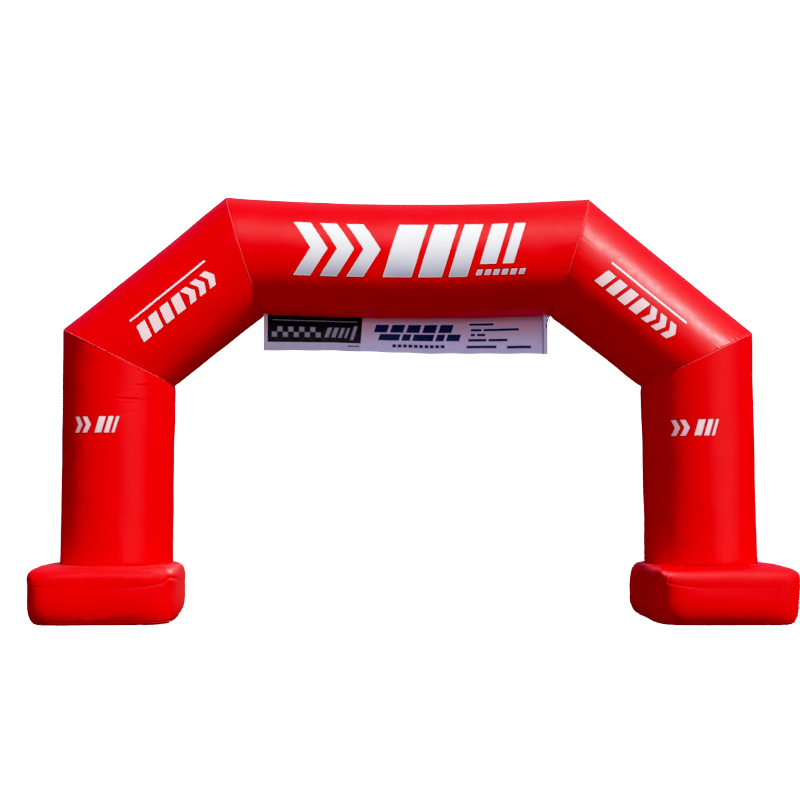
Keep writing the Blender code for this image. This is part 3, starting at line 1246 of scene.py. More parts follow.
@dataclass(frozen=True)
class AirTube:
    """One air-filled tube between two joints.

    Attributes:
        name: the name of its node.
        first: the number of its first joint.
        waist: how far its middle is drawn in.
        sag: how far its middle dips.
        design: its print.
        turn: quarter turns of the print.
        print_at: the print's middle, as a share of the tube's length and degrees from the front
            to the outer side.
        gathers: its puckers.
        creases: its creases.
        rows: how many rings its skin has.
        columns: how many points each ring has.
        roughness: its fabric's roughness.
        seam_gap: the gap between two tubes at a seam.
        draw: how far the skin is drawn in along a seam.
        draw_reach: how far from the seam that fades.
        fold: how far it is drawn in further at the inner corner.
        fold_reach: how far from the seam that fades.
        fold_angle: how far around the tube that fades, in radians.
        swell: how high the slow swells are.
        calm: how far from a seam they start.
        bunching: how much closer the rows lie near the seams.
    """

    name: str
    first: int
    design: TubePrint
    waist: float = 0.005
    sag: float = 0.0
    turn: int = 0
    print_at: tuple[float, float] = (0.5, 0.0)
    gathers: tuple[Gather, ...] = ()
    creases: tuple[Crease, ...] = ()
    rows: int = 200
    columns: int = 300
    roughness: float = 0.30
    seam_gap: float = 0.0003
    draw: float = 0.0022
    draw_reach: float = 0.016
    fold: float = 0.008
    fold_reach: float = 0.04
    fold_angle: float = 0.45
    swell: float = 0.0022
    calm: float = 0.06
    bunching: float = 0.7

    def skin(self, spine: Spine) -> Surface:
        """The tube's skin.

        Each ring is a mix of the two seams by its share of the length, drawn in towards the
        middle and lowered by the waist and the sag times 4 u (1 - u). The shares u lie closer
        together near both seams: u = e - bunching sin(2 pi e) / (2 pi) for even steps e.

        Args:
            spine: the joints.

        Returns:
            The skin with its relief.
        """
        seams = spine.seams()
        angle = np.linspace(-math.pi, math.pi, self.columns + 1)
        start, end = (seams[self.first + step].ring(angle[:-1]) for step in (0, 1))
        length = np.linalg.norm(end - start, axis=1)
        axis = unit(end.mean(axis=0) - start.mean(axis=0))
        start, end = start + axis * self.seam_gap / 2, end - axis * self.seam_gap / 2
        even = np.linspace(0.0, 1.0, self.rows)
        share = even - self.bunching * np.sin(2.0 * math.pi * even) / (2.0 * math.pi)
        share = share[:, None, None]
        hump = 4.0 * share * (1.0 - share)
        points = start + (end - start) * share
        spoke = points - points.mean(axis=1, keepdims=True)
        spoke = unit(spoke - (spoke @ axis)[:, :, None] * axis)
        points = points - spoke * self.waist * hump - np.array((0.0, 0.0, self.sag)) * hump
        radius = float(np.mean([seams[self.first].half_depth, seams[self.first + 1].half_depth]))
        middle = start.mean(axis=0) + (end.mean(axis=0) - start.mean(axis=0)) * self.print_at[0]
        along = (points - middle) @ axis
        along = np.concatenate([along, along[:, :1]], axis=1)
        around = (angle - math.radians(self.print_at[1])) * radius
        places = np.stack(np.broadcast_arrays(along, around[None, :]), axis=-1)
        relief = self.relief(angle[:-1], share[:, :, 0], length, radius)
        return Surface(points, places).raised(relief)

    def relief(
        self, angle: np.ndarray, share: np.ndarray, length: np.ndarray, radius: float
    ) -> np.ndarray:
        """How far the skin stands out at each point.

        It is drawn in at both seams, and more so at the inner corner except on a foot, as
        exponentials of the squared distance from the seam. To that come the slow swells, the
        puckers and the creases.

        Args:
            angle: the angle of each column.
            share: the share of the length of each row.
            length: the skin's length at each column.
            radius: the tube's radius.

        Returns:
            The heights.
        """
        away = {End.FIRST: share * length, End.LAST: (1.0 - share) * length}
        inner = bell(angle + math.pi / 2, self.fold_angle)
        seed = 11 * self.first + 5
        height = self.swell * billow(angle, share * length.mean(), seed)
        for distance in away.values():
            height = height * (1.0 - bell(distance, self.calm))
        for end, distance in away.items():
            height = height - self.draw * bell(distance, self.draw_reach)
            if (self.first, end) not in ((0, End.FIRST), (4, End.LAST)):
                height = height - self.fold * inner * bell(distance, self.fold_reach)
        for number, gather in enumerate(self.gathers):
            height = height + gather.relief(angle, away[gather.end], radius, seed + number + 1)
        for crease in self.creases:
            height = height + crease.relief(angle, share * length, radius)
        return height

    def build(self, spine: Spine) -> Surface:
        """Builds the tube and puts it in place of its node.

        Args:
            spine: the joints.

        Returns:
            The skin, for the pieces that touch it.
        """
        skin = self.skin(spine)
        design = replace(self.design.value, turn=self.turn)
        fabric = CoatedFabric(self.name + "_fabric", roughness=self.roughness, design=design)
        material = fabric.material()
        piece = skin.build(self.name + "_skin", material, Group.INFLATED)
        ride(piece, "coated_red", self.name)
        return skin


@dataclass(frozen=True)
class Welt:
    """The thin welded lip that stands out along a seam.

    Attributes:
        name: its name.
        height: half its height out of the skin.
        width: half its width along the skin.
        proud: how far its middle stands out of the seam's bottom.
    """

    name: str
    height: float = 0.0050
    width: float = 0.0050
    proud: float = 0.0022

    def build(self, ring: np.ndarray, out: np.ndarray, material: bpy.types.Material) -> None:
        """Builds the lip as an oval section carried round a ring.

        Args:
            ring: the seam's points.
            out: the outward direction at each.
            material: its finish.
        """
        lip = swept(ring + out * self.proud, out, self.height, self.width, True, 8)
        ride(lip.build(self.name, material, Group.INFLATED, sharp=80.0), "coated_red")


# ---------------------------------------------------------------- feet
@dataclass(frozen=True)
class WallRing:
    """One ring of a foot's wall: a rounded rectangle that rises and falls with the top seam.

    Attributes:
        z: its height.
        follow: how much of the top seam's rise and fall it takes up.
        half_width: half its size along X.
        half_depth: half its size along Y.
        squareness: the exponent of the rounded rectangle.
    """

    z: float
    follow: float
    half_width: float
    half_depth: float
    squareness: float

    def points(self, angle: np.ndarray, foot: "BoxFoot") -> np.ndarray:
        """Points of the ring around its middle.

        The reach r solves |r cos / half width|^s + |r sin / half depth|^s = 1, and across is
        |r cos / half width|. On the inner side the seam runs from its peak at the front corner to
        its drop at the back one, by a power of the place between them. Along the front and the
        back both fade, a wide part with a low power and the rest with a high power of across over
        its value at the corner. The outer side's rise fades with a power of across.

        Args:
            angle: the direction of each point.
            foot: the foot that the ring is part of.

        Returns:
            The points.
        """
        width = np.abs(np.cos(angle)) / self.half_width
        deep = np.abs(np.sin(angle)) / (self.half_depth * foot.depth)
        reach = (width**self.squareness + deep**self.squareness) ** (-1.0 / self.squareness)
        corner = 0.5 ** (1.0 / self.squareness)
        across = reach * width
        near = np.minimum(across / corner, 1.0)
        fade = foot.wide * near**foot.wide_power + (1.0 - foot.wide) * near**foot.sharp_power
        place = np.clip(0.5 - np.sign(np.sin(angle)) * reach * deep / corner / 2.0, 0.0, 1.0)
        place = place**foot.side_power
        inner = fade * (foot.peak * place - foot.drop * (1.0 - place))
        outer = foot.outer_rise * across**foot.outer_power
        height = self.z + self.follow * np.where(np.cos(angle) * foot.leg_x > 0.0, outer, inner)
        return np.column_stack([reach * np.cos(angle), reach * np.sin(angle), height])


@dataclass(frozen=True)
class Tuck:
    """The puckers and the groove along one of a foot's lower and upper seams.

    Attributes:
        seam: the seam's name.
        share: the puckers' height next to the top seam's.
        waves: their number next to the top seam's.
        fade: how far they run.
        depth: the groove's depth.
        width: half its width.
    """

    seam: str
    share: float
    waves: float
    fade: float
    depth: float
    width: float


@dataclass(frozen=True)
class BoxFoot:
    """One inflated box that a leg stands on.

    Attributes:
        name: the name of its node.
        leg_x: X of the leg's middle.
        turn: how far it is turned, in degrees.
        depth: how deep it is next to the table of rings.
        peak: how high the corner peak at the front of its inner side is.
        drop: how far its top seam drops from there to the back.
        seed: the number that its puckers are drawn from.
        wall: the rings of its wall from the ground up.
        wide: how much of the peak and the drop fades widely along the front and the back.
        wide_power: the power of that part.
        sharp_power: the power of the rest.
        side_power: the power by which the seam falls along the inner side.
        outer_rise: how much higher the outer side runs.
        outer_power: the power by which that fades.
        panel_squareness: the exponent of the panel's section.
        under: where the underside's rings lie, as shares of its rim.
        floor: how far the rings under the leg lie inside the seat, as shares of its radius.
        seat_z: the height of the leg's seat.
        seat_radius: the seat's radius.
        columns: how many points each ring has.
        wall_rows: how many rings the wall has.
        panel_rows: how many rings the top panel has.
        pucker: how high the top seam's puckers are.
        pucker_spacing: the usual distance between them.
        pucker_reach: how far they run up the panel.
        wall_share: how high and how far they run on the wall, as shares of those on the panel.
        groove: how deep the top seam lies.
        peak_groove: how much deeper it lies at the peak.
        groove_width: half the groove's width.
        swell: how high the slow swells are.
        calm: how far from the top seam they are fully up.
        tucks: the puckers and grooves of the other seams.
    """

    name: str
    leg_x: float
    turn: float
    depth: float
    peak: float
    drop: float
    seed: int
    wall: tuple[WallRing, ...] = (
        WallRing(0.000, 0.00, 0.775, 0.895, 6.5),
        WallRing(0.030, 0.00, 0.815, 0.925, 6.5),
        WallRing(0.110, 0.07, 0.850, 0.966, 6.0),
        WallRing(0.210, 0.24, 0.863, 0.993, 5.8),
        WallRing(0.320, 0.54, 0.862, 1.000, 6.0),
        WallRing(0.435, 1.00, 0.858, 0.993, 7.0),
    )
    wide: float = 0.55
    wide_power: float = 4.0
    sharp_power: float = 25.0
    side_power: float = 1.5
    outer_rise: float = 0.070
    outer_power: float = 5.0
    panel_squareness: float = 3.4
    under: tuple[float, ...] = (0.05, 0.4, 0.75, 0.97)
    floor: tuple[float, ...] = (0.06, 0.15)
    seat_z: float = 0.660
    seat_radius: float = 0.678
    columns: int = 540
    wall_rows: int = 46
    panel_rows: int = 38
    pucker: float = 0.0030
    pucker_spacing: float = 0.062
    pucker_reach: float = 0.085
    wall_share: tuple[float, float] = (0.5, 0.35)
    groove: float = 0.0015
    peak_groove: float = 0.0085
    groove_width: float = 0.012
    swell: float = 0.004
    calm: float = 0.1
    tucks: tuple[Tuck, ...] = (
        Tuck("bottom", 0.4, 0.8, 0.05, 0.004, 0.012),
        Tuck("seat", 0.6, 0.7, 0.06, 0.012, 0.030),
    )

    def surface(self) -> tuple[Surface, dict[str, int]]:
        """The foot's whole skin, and which of its rows are its seams.

        The underside is flat. The wall is a smooth curve through its rings. The panel runs from
        the top seam to the seat over a quarter of a rounded square, inward^s + rise^s = 1 for its
        squareness s. Under the leg, two rings inside the seat and a fan of triangles close it.

        Returns:
            The skin with its relief, and the number of each seam's row.
        """
        middle = sum(corner[0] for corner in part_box(self.name)[:2]) / 2.0
        turn = math.radians(self.turn)
        angle = np.linspace(0.0, 2.0 * math.pi, self.columns + 1)
        rings = np.stack([ring.points(angle[:-1], self).ravel() for ring in self.wall])
        steps = np.linspace(0.0, len(self.wall) - 1.0, self.wall_rows)
        wall = through(rings, steps).reshape(self.wall_rows, self.columns, 3)
        wall[:, :, 2] = np.maximum(wall[:, :, 2], 0.0)
        under = wall[:1] * np.array(self.under)[:, None, None]
        body = np.concatenate([under, wall])
        x, y, z = np.moveaxis(body, -1, 0)
        body = np.stack([
            middle + x * math.cos(turn) - y * math.sin(turn),
            x * math.sin(turn) + y * math.cos(turn), z,
        ], axis=-1)
        spoke = angle[:-1] + turn
        round_seat = self.seat_radius * np.column_stack([np.cos(spoke), np.sin(spoke), 0.0 * spoke])
        seat = round_seat + (self.leg_x, 0.0, self.seat_z)
        bend = np.linspace(0.0, math.pi / 2, self.panel_rows)[1:, None]
        power = self.panel_squareness
        reach = (np.sin(bend) ** power + np.cos(bend) ** power) ** (-1.0 / power)
        seam = body[-1]
        panel = seam + (seat - seam) * (1.0 - reach * np.cos(bend))[:, :, None]
        panel[:, :, 2] = seam[:, 2] + (seat[:, 2] - seam[:, 2]) * reach * np.sin(bend)
        floor = seat - round_seat * np.array(self.floor)[:, None, None]
        points = np.concatenate([body, panel, floor])
        rows = {
            "bottom": len(under) + round((self.wall_rows - 1) / (len(self.wall) - 1)),
            "top": len(body) - 1, "seat": len(body) + self.panel_rows - 2,
        }
        places = np.stack(np.broadcast_arrays(
            angle[None, :], np.linspace(0.0, 1.0, len(points))[:, None]
        ), axis=-1)
        skin = Surface(points, places)
        return skin.raised(self.relief(skin, rows, angle[:-1])), rows

    def relief(self, skin: Surface, rows: dict[str, int], angle: np.ndarray) -> np.ndarray:
        """How far the skin stands out at each point.

        The distance from a seam is added up from row to row. Puckers fade as exponentials of it,
        long on the panel and short on the wall, and stand higher near the corners, most of all
        next to the peak. Each seam lies in a groove, a bell curve of the distance, which is
        deeper at the peak. The slow swells start away from the top seam. All of it fades towards
        the ground, and the skin under the leg stays plain.

        Args:
            skin: the plain skin.
            rows: which rows are its seams.
            angle: the angle of each column.

        Returns:
            The heights.
        """
        steps = np.linalg.norm(np.diff(skin.points, axis=0), axis=2)
        travel = np.concatenate([np.zeros((1, self.columns)), np.cumsum(steps, axis=0)])
        away = {name: travel - travel[row] for name, row in rows.items()}
        top = away["top"]
        seam = skin.points[rows["top"]]
        piece = np.linalg.norm(seam - np.roll(seam, 1, axis=0), axis=1)
        around = 2.0 * math.pi * np.cumsum(piece) / piece.sum()
        waves = piece.sum() / self.pucker_spacing
        inwards = -math.copysign(1.0, self.leg_x)
        rim = self.wall[-1]
        peak = math.atan2(-rim.half_depth * self.depth, inwards * rim.half_width)
        from_peak = np.angle(np.exp(1j * (angle - peak)))
        corner = 0.55 + 0.45 * np.abs(np.sin(2.0 * angle)) ** 3 + bell(from_peak + 0.08 * inwards, 0.14)
        on_panel = top > 0.0
        rise = np.where(on_panel, 1.0, self.wall_share[0])
        reach = self.pucker_reach * np.where(on_panel, 1.0, self.wall_share[1])
        rise = rise * np.exp(-np.abs(top) / reach) * np.minimum(np.abs(top) / 0.015, 1.0)
        height = self.pucker * corner * ripple(around, waves, self.seed) * rise
        groove = self.groove + self.peak_groove * bell(from_peak, 0.30)
        height = height - groove * bell(top, self.groove_width)
        for number, tuck in enumerate(self.tucks):
            distance = np.abs(away[tuck.seam])
            ridges = ripple(around, tuck.waves * waves, self.seed + 1 + number)
            height = height + tuck.share * self.pucker * ridges * np.exp(-distance / tuck.fade)
            height = height - tuck.depth * bell(distance, tuck.width)
        swell = self.swell * billow(around, travel, self.seed + 3)
        height = height + swell * np.minimum(np.abs(top) / self.calm, 1.0)
        lifted = np.clip(skin.points[:, :, 2] / 0.03, 0.0, 1.0)
        return height * np.where(away["seat"] > 0.01, 0.0, lifted)

    def build(self, welt: bpy.types.Material) -> None:
        """Builds the foot with its seams' lips and puts it in place of its node.

        Args:
            welt: the finish of the lip at the seat, pinker than the skin as a painted highlight.
        """
        skin, rows = self.surface()
        material = CoatedFabric(self.name + "_fabric", dust_height=0.22).material()
        piece = skin.build(self.name + "_skin", material, Group.INFLATED, sharp=38.0)
        ride(piece, "coated_red", self.name)
        out = skin.directions()[1]
        for seam, size in (("top", 0.0030), ("bottom", 0.0030), ("seat", 0.0050)):
            row = rows[seam]
            Welt(f"{self.name}_{seam}_welt", size, size * 0.6, size * 0.6).build(
                skin.points[row], out[row], welt if seam == "seat" else material
            )


# ---------------------------------------------------------------- banners
@dataclass(frozen=True)
class Banner:
    """One cloth that hangs under the beam.

    Attributes:
        name: the name of its node.
        slot: its material slot.
        finish: its finish.
        start: where it starts, from the left inner corner along its upper edge.
        end: where it ends.
        sleeve_at_start: whether the sleeve for the pole is at its start.
        behind: how far it hangs behind the other cloth.
        slant: how far its free side leans in towards the hem.
        y_ends: Y of the cloths' line at the left and right inner corners.
        hem_z: the height of the lower edge at distances from the left inner corner.
        cloth: its thickness.
        hem: the thickness of the hem.
        sleeve: the thickness of the sleeve.
        sleeve_width: its width.
        rows: how many rows of points it has.
        columns: how many columns it has beside the sleeve.
        edge_rows: how many of the rows lie close to each edge.
        edge_share: the share of the height that those take up.
        tuck: how far its upper edge reaches into the beam's skin.
    """

    name: str
    slot: str
    finish: BannerCloth
    start: float
    end: float
    sleeve_at_start: bool
    behind: float = 0.0
    slant: float = 0.030
    y_ends: tuple[float, float] = (-0.100, 0.0)
    hem_z: tuple[tuple[float, float], ...] = (
        (0.0, 3.208), (0.86, 3.207), (1.22, 3.196), (2.03, 3.172), (3.465, 3.177),
    )
    cloth: float = 0.002
    hem: float = 0.0036
    sleeve: float = 0.014
    sleeve_width: float = 0.045
    rows: int = 62
    columns: int = 236
    edge_rows: int = 14
    edge_share: float = 0.08
    tuck: float = 0.0015

    def swing(self, distance: np.ndarray, drop: np.ndarray, span: float) -> np.ndarray:
        """Y of the cloth's middle.

        A straight line from one inner corner to the other, plus a sine of 4 mm every 0.83 m, plus
        two finer ones, every 0.31 and 0.137 m, that grow to 2.2 mm towards the free lower edge.

        Args:
            distance: the distance of each point from the left inner corner.
            drop: how far down the cloth it is, from 0 to 1.
            span: the distance between the inner corners.

        Returns:
            Y of each point.
        """
        line = self.y_ends[0] + (self.y_ends[1] - self.y_ends[0]) * distance / span
        slow = 0.004 * np.sin(2.0 * math.pi * distance / 0.83)
        fine = np.sin(2.0 * math.pi * (distance / 0.31 + 0.35 * drop))
        finer = 0.6 * np.sin(2.0 * math.pi * (distance / 0.137 - 0.5 * drop))
        return line + slow + 0.0022 * drop * (fine + finer)

    def surface(self, spine: Spine, beam: Surface) -> tuple[Surface, np.ndarray]:
        """The cloth's middle surface and its thickness.

        The upper edge follows the beam's lowest line, raised by the height h (1 - sqrt(1 - (y/r)^2))
        to where the round skin is over the cloth. The thickness is an ellipse across the sleeve.

        Args:
            spine: the joints.
            beam: the beam's skin.

        Returns:
            The surface and the thickness at each point.
        """
        seams = spine.seams()[2:4]
        corners = [seam.center - seam.outward * seam.half_width for seam in seams]
        span = corners[1][0] - corners[0][0]
        length = self.end - self.start
        pocket = self.sleeve_width * (1.0 - np.cos(np.linspace(0.0, math.pi, 25))) / 2.0
        plain = np.linspace(self.sleeve_width, length, self.columns)[1:]
        free = np.concatenate([pocket, plain])
        along = self.start + free if self.sleeve_at_start else (self.end - free)[::-1]
        share, fine = self.edge_share, self.edge_rows
        drop = np.concatenate([
            np.linspace(0.0, share, fine)[:-1],
            np.linspace(share, 1.0 - share, self.rows - 2 * (fine - 1)),
            np.linspace(1.0 - share, 1.0, fine)[1:],
        ])[:, None]
        loose = (along - self.start if self.sleeve_at_start else self.end - along)[None, :]
        distance = along[None, :] - self.slant * drop * loose / length
        x = corners[0][0] + distance
        y = self.swing(distance, drop, span) + self.behind
        lowest = beam.points[:, beam.points.shape[1] // 4]
        under = np.interp(x[0], lowest[:, 0], lowest[:, 2])
        radius = seams[0].half_depth
        top = under + radius * (1.0 - np.sqrt(1.0 - (y[0] / radius) ** 2)) + self.tuck
        bottom = np.interp(distance, *np.array(self.hem_z).T)
        z = top + (bottom - top) * drop
        z = z - 0.0025 * drop**4 * np.sin(2.0 * math.pi * distance / 0.47)
        up = np.broadcast_to((1.0 - drop) * self.finish.height, x.shape)
        places = np.stack([distance - self.start, up], axis=-1)
        offset = (loose - self.sleeve_width / 2) / (self.sleeve_width / 2)
        full = np.sqrt(np.clip(1.0 - offset**2, 0.0, 1.0))
        edge = np.minimum(drop, 1.0 - drop) * self.finish.height
        far = length - loose
        hemmed = np.clip((self.finish.hem_width - np.minimum(edge, far)) / 0.004, 0.0, 1.0)
        plain_cloth = self.cloth + (self.hem - self.cloth) * hemmed
        thickness = np.maximum(plain_cloth, self.cloth + (self.sleeve - self.cloth) * full)
        return Surface(np.stack([x + 0.0 * drop, y, z], axis=-1), places, False), thickness

    def build(self, spine: Spine, beam: Surface) -> None:
        """Builds the cloth and puts it in place of its node.

        Args:
            spine: the joints.
            beam: the beam's skin, which the cloth hangs from.
        """
        surface, thickness = self.surface(spine, beam)
        piece = surface.build(self.name + "_cloth", self.finish.material(), Group.HUNG, thickness)
        ride(piece, self.slot, self.name)
        turning = self.finish.hem_width
        flat = (self.end - self.start + 2 * turning, self.finish.height + 2 * turning)


# ---------------------------------------------------------------- tie
@dataclass(frozen=True)
class Tie:
    """The knot at the right inner corner and its two free tails.

    Attributes:
        tail_start: the point under the knot that both routes are counted from.
        diameter: the cord's diameter.
        knot_half: half the knot's size along X, Y and Z.
        height_share: how much of its height the turns take up.
        squeeze: how much smaller the cord's radius is where the knot pulls it tight.
        gap: the gap between the knot and the tails.
        sides: how many points the cord's section has.
        routes: each tail's node, its slot and the steps of its route.
    """

    tail_start: tuple[float, float, float] = (1.6925, -0.0240, 3.6047)
    diameter: float = 0.012
    knot_half: tuple[float, float, float] = (0.020, 0.013, 0.022)
    height_share: float = 0.9
    squeeze: float = 0.0005
    gap: float = 0.0005
    sides: int = 14
    routes: tuple[tuple[str, str, tuple[tuple[float, float, float], ...]], ...] = (
        ("tie_tail_left", "tie_navy", (
            (-0.007, 0.000, 0.000), (-0.007, 0.000, -0.008), (-0.010, -0.002, -0.024),
            (-0.016, -0.005, -0.042), (-0.022, -0.007, -0.066), (-0.025, -0.008, -0.090),
            (-0.026, -0.008, -0.115),
        )),
        ("tie_tail_right", "tie_white", (
            (0.007, 0.000, 0.000), (0.007, 0.000, -0.008), (0.009, -0.002, -0.022),
            (0.009, -0.004, -0.038), (0.004, -0.005, -0.058), (-0.002, -0.006, -0.078),
        )),
    )

    def knot(self) -> Surface:
        """The cord's turns in the knot: a trefoil, (sin t + 2 sin 2t, -sin 3t, cos t - 2 cos 2t).

        It is scaled so that the cord around it fills the knot's size, and sits a gap above the
        height at which the tails start.

        Returns:
            The turns.
        """
        t = np.linspace(0.0, 2.0 * math.pi, 120, endpoint=False)
        loop = np.column_stack([
            np.sin(t) + 2.0 * np.sin(2.0 * t), -np.sin(3.0 * t), np.cos(t) - 2.0 * np.cos(2.0 * t),
        ])
        low, high = loop.min(axis=0), loop.max(axis=0)
        loop = (loop - (low + high) / 2.0) / (high - low) * 2.0
        radius = self.diameter / 2.0 - self.squeeze
        loop = loop * (np.array(self.knot_half) * (1.0, 1.0, self.height_share) - radius)
        lift = self.gap + self.knot_half[2] * self.height_share
        path = loop + np.array(self.tail_start) + (0.0, 0.0, lift)
        out = unit(path - path.mean(axis=0)) + np.array((0.0, -0.3, 0.0))
        return swept(path, unit(out), radius, radius, True, self.sides)

    def tail(self, steps: Sequence[tuple[float, float, float]]) -> tuple[Surface, np.ndarray]:
        """One tail: a round section along a smooth curve through its route.

        Args:
            steps: the route's points, counted from the place where the tails start.

        Returns:
            The surface and its centreline.
        """
        route = np.array(self.tail_start) + np.array(steps)
        path = through(route, np.linspace(0.0, len(route) - 1.0, 6 * (len(route) - 1) + 1))
        out = np.zeros_like(path) + (0.0, -1.0, 0.0)
        radius = self.diameter / 2.0
        return swept(path, out, radius, radius, False, self.sides), path

    def build(self) -> None:
        """Builds the knot and the tails and puts them in place of their nodes."""
        white = CordFinish("tie_white_cord", (0.80, 0.79, 0.86), (0.42, 0.41, 0.50)).material()
        navy = CordFinish("tie_navy_cord", (0.030, 0.045, 0.16), (0.010, 0.015, 0.06)).material()
        finishes = {"tie_white": white, "tie_navy": navy}
        ride(self.knot().build("tie_knot_turns", white, Group.HUNG), "tie_white", "tie_knot")
        for name, slot, steps in self.routes:
            surface, path = self.tail(steps)
            piece = surface.build(name + "_cord", finishes[slot], Group.HUNG)
            ride(piece, slot, name)


# ---------------------------------------------------------------- studio
@dataclass(frozen=True)
class Glint:
    """A bright patch that only gloss mirrors: a soft one of the sky, or a sun for one piece.

    Attributes:
        middle: a point of the arch.
        facing: the way the skin faces there when it mirrors the patch's middle to the eye.
        strength: how bright the patch's middle is, or the sun's energy.
        spread: the angle at which the patch has faded to 61 %, or the sun's size, in degrees.
    """

    middle: tuple[float, float, float]
    facing: tuple[float, float, float]
    strength: float
    spread: float

    def direction(self, eye: Sequence[float]) -> tuple[float, ...]:
        """The direction to its middle: the direction to the eye, mirrored about the facing.

        Args:
            eye: the camera's place.

        Returns:
            The unit direction.
        """
        back = unit(np.array(eye) - np.array(self.middle))
        facing = unit(np.array(self.facing))
        return tuple(float(part) for part in 2.0 * (back @ facing) * facing - back)

    def over(
        self, tree: bpy.types.NodeTree, place: bpy.types.NodeSocket, sky: bpy.types.NodeSocket,
        eye: Sequence[float],
    ) -> bpy.types.NodeSocket:
        """Adds it to the mirrored sky, faded by a high power of the cosine from its middle.

        Args:
            tree: the world's nodes.
            place: the direction that is looked in.
            sky: the sky's colour.
            eye: the camera's place.

        Returns:
            The socket of the colour with the patch.
        """
        dot = tree.nodes.new("ShaderNodeVectorMath")
        dot.operation = "DOT_PRODUCT"
        dot.inputs[1].default_value = self.direction(eye)
        tree.links.new(place, dot.inputs[0])
        power = math.radians(self.spread) ** -2.0
        share = Field(tree, dot.outputs["Value"]).most(0.0).math("POWER", power)
        mix = tree.nodes.new("ShaderNodeMix")
        mix.data_type = "RGBA"
        mix.blend_type = "ADD"
        tree.links.new(share.socket, mix.inputs[0])
        tree.links.new(sky, mix.inputs[6])
        mix.inputs[7].default_value = (self.strength,) * 3 + (1.0,)
        return mix.outputs[2]


